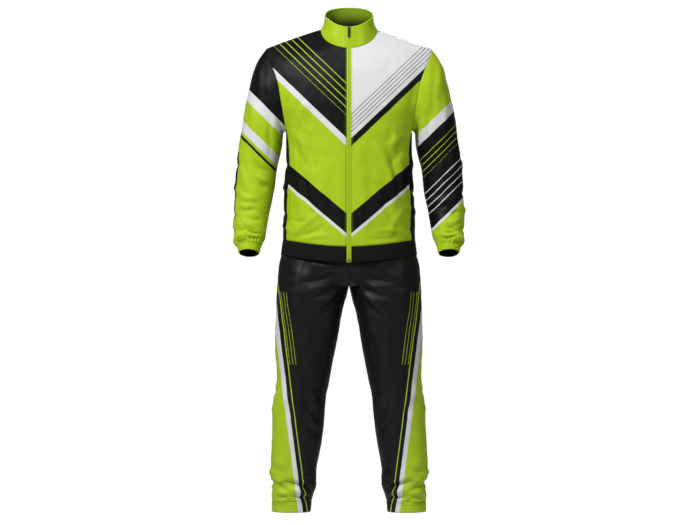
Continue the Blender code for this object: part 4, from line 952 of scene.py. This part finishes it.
# Geometry nodes that set a short round bar at every step along the lines: stitches lie along
# the line, and the turns of a zip coil lie across it.
def barsAlongLines(name, across):
    group = bpy.data.node_groups.new(name, "GeometryNodeTree")
    face = group.interface
    face.new_socket(name="Geometry", in_out="INPUT", socket_type="NodeSocketGeometry")
    sockets = {}
    kinds = {"Pitch": "Float", "Bar length": "Float", "Bar radius": "Float", "Material": "Material"}
    for label, kind in kinds.items():
        socket = face.new_socket(name=label, in_out="INPUT", socket_type="NodeSocket" + kind)
        sockets[label] = socket.identifier
    face.new_socket(name="Geometry", in_out="OUTPUT", socket_type="NodeSocketGeometry")
    start = addNode(group, "NodeGroupInput").outputs
    curve = addNode(group, "GeometryNodeMeshToCurve", {"Mesh": start["Geometry"]})
    steps = {"Curve": curve.outputs[0], "Length": start["Pitch"]}
    places = addNode(group, "GeometryNodeCurveToPoints", steps, mode="LENGTH").outputs
    size = {"Vertices": 6, "Radius": start["Bar radius"], "Depth": start["Bar length"]}
    bar = addNode(group, "GeometryNodeMeshCylinder", size).outputs["Mesh"]
    turn = (0, math.pi / 2, 0) if across else places["Rotation"]
    each = {"Points": places["Points"], "Instance": bar, "Rotation": turn}
    copies = addNode(group, "GeometryNodeInstanceOnPoints", each)
    real = addNode(group, "GeometryNodeRealizeInstances", {0: copies.outputs[0]})
    rounded = addNode(group, "GeometryNodeSetShadeSmooth", {0: real.outputs[0]})
    look = {"Geometry": rounded.outputs[0], "Material": start["Material"]}
    paint = addNode(group, "GeometryNodeSetMaterial", look)
    addNode(group, "NodeGroupOutput", {0: paint.outputs[0]})
    return group, sockets


# Lays the bars along the lines and keeps the result as a plain mesh of the garment.
def layBars(name, lines, group, sizes, material):
    obj = lineObject(name, lines)
    nodes, sockets = group
    modifier = obj.modifiers.new("bars", "NODES")
    modifier.node_group = nodes
    for label, value in sizes.items():
        modifier[sockets[label]] = value
    modifier[sockets["Material"]] = material
    bpy.context.view_layer.update()
    mesh = bpy.data.meshes.new_from_object(obj.evaluated_get(bpy.context.evaluated_depsgraph_get()))
    obj.modifiers.clear()
    obj.data = mesh
    if not mesh.materials:
        mesh.materials.append(material)
    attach(obj, "garment")
    print(name, "triangles", sum(len(p.vertices) - 2 for p in mesh.polygons))
    return obj


# Seams and topstitching: stitch pitch, length and thread, with a thicker thread than real so
# that it shows at this size, and how far stitches lie off the cloth.
stitching = {"Pitch": 0.0034, "Bar length": 0.0025, "Bar radius": 0.00032}
stitchLift = 0.05


# Where lines of stitches run, by rows and columns of the sheets.
stitchPlaces = {
    # row and side of the cloth, and how far from the ends
    "collar": ((17.0, 1), (15.6, -1)),
    "collarEnds": (0.6, 1.6),
    "collarSides": (1.7, 2.7),
    "collarSideRows": (0.5, 17.0),
    "zipColumn": 0.9,
    "zipEnds": (0.6, 0.5),
    "hemRow": 0.8,
    "frontHem": (0.9, 55.4),
    "backHem": (0.9, 112),
    # low and high row, near and far column: three lines, because the welt hides the fourth
    "welt": (17, 54, 50, 55),
    "cuff": (1.6,),
    "legCuff": (0.8, 2.4),
}


# Lines of stitches in the colours green, black and deep green.
def stitchLines():
    light, dark, deep = [], [], []
    at = stitchPlaces
    lift, ribLift, collarLift = (cloth[wall] / 2 + stitchLift for wall in ("wall", "ribWall", "collarWall"))
    rings = len(sheets["collar"]["grid"][0])
    first, last = at["collarEnds"]
    for row, side in at["collar"]:
        light.append(along("collar", row, np.linspace(first, rings - last, 200), side * collarLift))
    first, last = at["collarSides"]
    for column in (first, rings - last):
        deep.append(along("collar", np.linspace(*at["collarSideRows"], 30), column, collarLift))
    first, last = at["zipEnds"]
    last = before(torsoStops, torso["frontNeckRow"]) - last
    low, high, near, far = at["welt"]
    for word in ("Left", "Right"):
        front = "front" + word
        light.append(along(front, np.linspace(first, last, 200), at["zipColumn"], lift))
        deep.append(along(front, at["hemRow"], np.linspace(*at["frontHem"], 70), lift))
        for rows, columns in (((low, high), (near, near)), ((low, low), (near, far)), ((high, high), (near, far))):
            dark.append(along(front, np.linspace(*rows, 40), np.linspace(*columns, 40), lift))
        for kind, lines in (("cuff", light), ("legCuff", dark)):
            turn = np.linspace(0, len(sheets[kind + word]["grid"][0]), 160)
            for row in at[kind]:
                lines.append(along(kind + word, row, turn, ribLift))
    deep.append(along("back", at["hemRow"], np.linspace(*at["backHem"], 140), lift))
    return light, dark, deep


# Pocket welts: strips of the front's own print, laid on it from its points.
welt = {"rows": (17.6, 53.0, 60), "columns": (50.8, 55.2, 9), "wall": 1.4, "gap": 0.45}
for word in ("Left", "Right"):
    front = sheets["front" + word]
    rows, columns = np.meshgrid(np.linspace(*welt["rows"]), np.linspace(*welt["columns"]), indexing="ij")
    lift = cloth["wall"] / 2 + welt["gap"] + welt["wall"] / 2
    sheet = {"grid": along("front" + word, rows, columns, lift), "facing": "front", "closed": False,
             "wall": welt["wall"], "cut": between(front, "cut", rows, columns)}
    sheet["normals"] = gridNormals(sheet)
    finishCloth(makeCloth("pocketWelt" + word, sheet), "pocket_welt_" + word.lower(), "jacket_print",
                made[("front" + word, False)], blackInside, flat=(0.013, 0.15))

stitchGroup = barsAlongLines("stitchesAlongLines", False)
coilGroup = barsAlongLines("coilAcrossLine", True)
threads = [hardMaterial(name + "PolyesterThread", colour, 0.7, 0.0)
           for name, colour in (("green", "thread"), ("black", "black"), ("deepGreen", "seam"))]
for name, lines, thread in zip(("greenStitches", "blackStitches", "seamStitches"), stitchLines(), threads):
    layBars(name, lines, stitchGroup, stitching, thread)

# Zip coil: the turns of both halves in one row, sunk a little in the tape. Real pitch is about 1.4 mm.
coil = {"Pitch": 0.0014, "Bar length": 0.0042, "Bar radius": 0.00034}
coilPlace = {"start": 3.2, "end": 4.9, "sink": 0.1}
rows = np.linspace(coilPlace["start"], len(sheets["zipTapeLeft"]["grid"]) - coilPlace["end"], 400)
coilLine = along("zipTapeLeft", rows, 0.0, cloth["wall"] / 2 - coilPlace["sink"])
coilLine[:, 0] = 0
layBars("zipCoil", [coilLine], coilGroup, coil, threads[0])

# Hard pieces: a die-cast slider and box, dull grey, and a moulded pull, black with a soft sheen.
metal = hardMaterial("zincAlloySlider", "metal", 0.38, 1.0)
rubber = hardMaterial("mouldedPull", "rubber", 0.5, 0.0)
edgeWidth = 0.00025
for node, finish in (("zip_slider", metal), ("zip_box", metal), ("pull_tab", rubber)):
    obj = frame["nodes"][node]
    obj.data.materials.clear()
    obj.data.materials.append(finish)
    bevel = obj.modifiers.new("edges", "BEVEL")
    bevel.width, bevel.segments, bevel.limit_method = edgeWidth, 2, "ANGLE"

# A plain floor, soft lights, a world that is white only behind the object, and the camera.
studio = {
    "floor": -1.9, "half": 2.4, "paper": 0.7, "paperRough": 0.9,
    "lens": 202.4, "distance": 12.0, "lift": 2.0, "aim": (0.003, 0.0, -0.703),
    # brightness of the world all round and behind the object, and where one turns into the other
    "world": (0.11, 1.05), "worldEdge": (0.9, 0.96),
    # place, size and power of each light
    "lights": {"leftLight": ((-2.3, -2.9, 2.1), 0.6, 168), "rightLight": ((3.1, -2.7, 1.0), 0.8, 27),
               "topLight": ((0.3, -2.0, 3.2), 0.7, 46), "backLight": ((0.9, 3.4, 1.6), 1.0, 90)},
}


def makeStudio():
    half, low, grey = studio["half"], studio["floor"], studio["paper"]
    mesh = bpy.data.meshes.new("floor")
    corners = [(-half, -half, low), (half, -half, low), (half, half, low), (-half, half, low)]
    mesh.from_pydata(corners, [], [(0, 1, 2, 3)])
    paper, _, shader = newMaterial("whitePaper", "white")
    shader.inputs["Base Color"].default_value = (grey, grey, grey, 1)
    shader.inputs["Roughness"].default_value = studio["paperRough"]
    mesh.materials.append(paper)
    place("floor", mesh)
    world = bpy.data.worlds.new("studio")
    world.use_nodes = True
    tree = world.node_tree
    way = addNode(tree, "ShaderNodeTexCoord").outputs["Generated"]
    split = addNode(tree, "ShaderNodeSeparateXYZ", {0: way}).outputs
    settings = {0: split[1], **dict(enumerate(studio["worldEdge"] + studio["world"], 1))}
    light = addNode(tree, "ShaderNodeMapRange", settings, interpolation_type="SMOOTHSTEP")
    tree.nodes["Background"].inputs[0].default_value = (1, 1, 1, 1)
    tree.links.new(light.outputs[0], tree.nodes["Background"].inputs[1])
    bpy.context.scene.world = world


makeStudio()
aim = mathutils.Vector(studio["aim"])
for name, (spot, size, power) in studio["lights"].items():
    data = bpy.data.lights.new(name, "AREA")
    data.shape, data.size, data.energy = "SQUARE", size, power
    light = place(name, data)
    light.location = spot
    light.rotation_euler = (aim - light.location).to_track_quat("-Z", "Y").to_euler()

camera = place("camera", bpy.data.cameras.new("camera"))
lift = math.radians(studio["lift"])
camera.location = aim + studio["distance"] * mathutils.Vector((0, -math.cos(lift), math.sin(lift)))
camera.rotation_euler = (math.pi / 2 - lift, 0, 0)
camera.data.lens = studio["lens"]
camera.data.sensor_width = 36
bpy.context.scene.camera = camera
bpy.context.scene.view_settings.view_transform = "Standard"
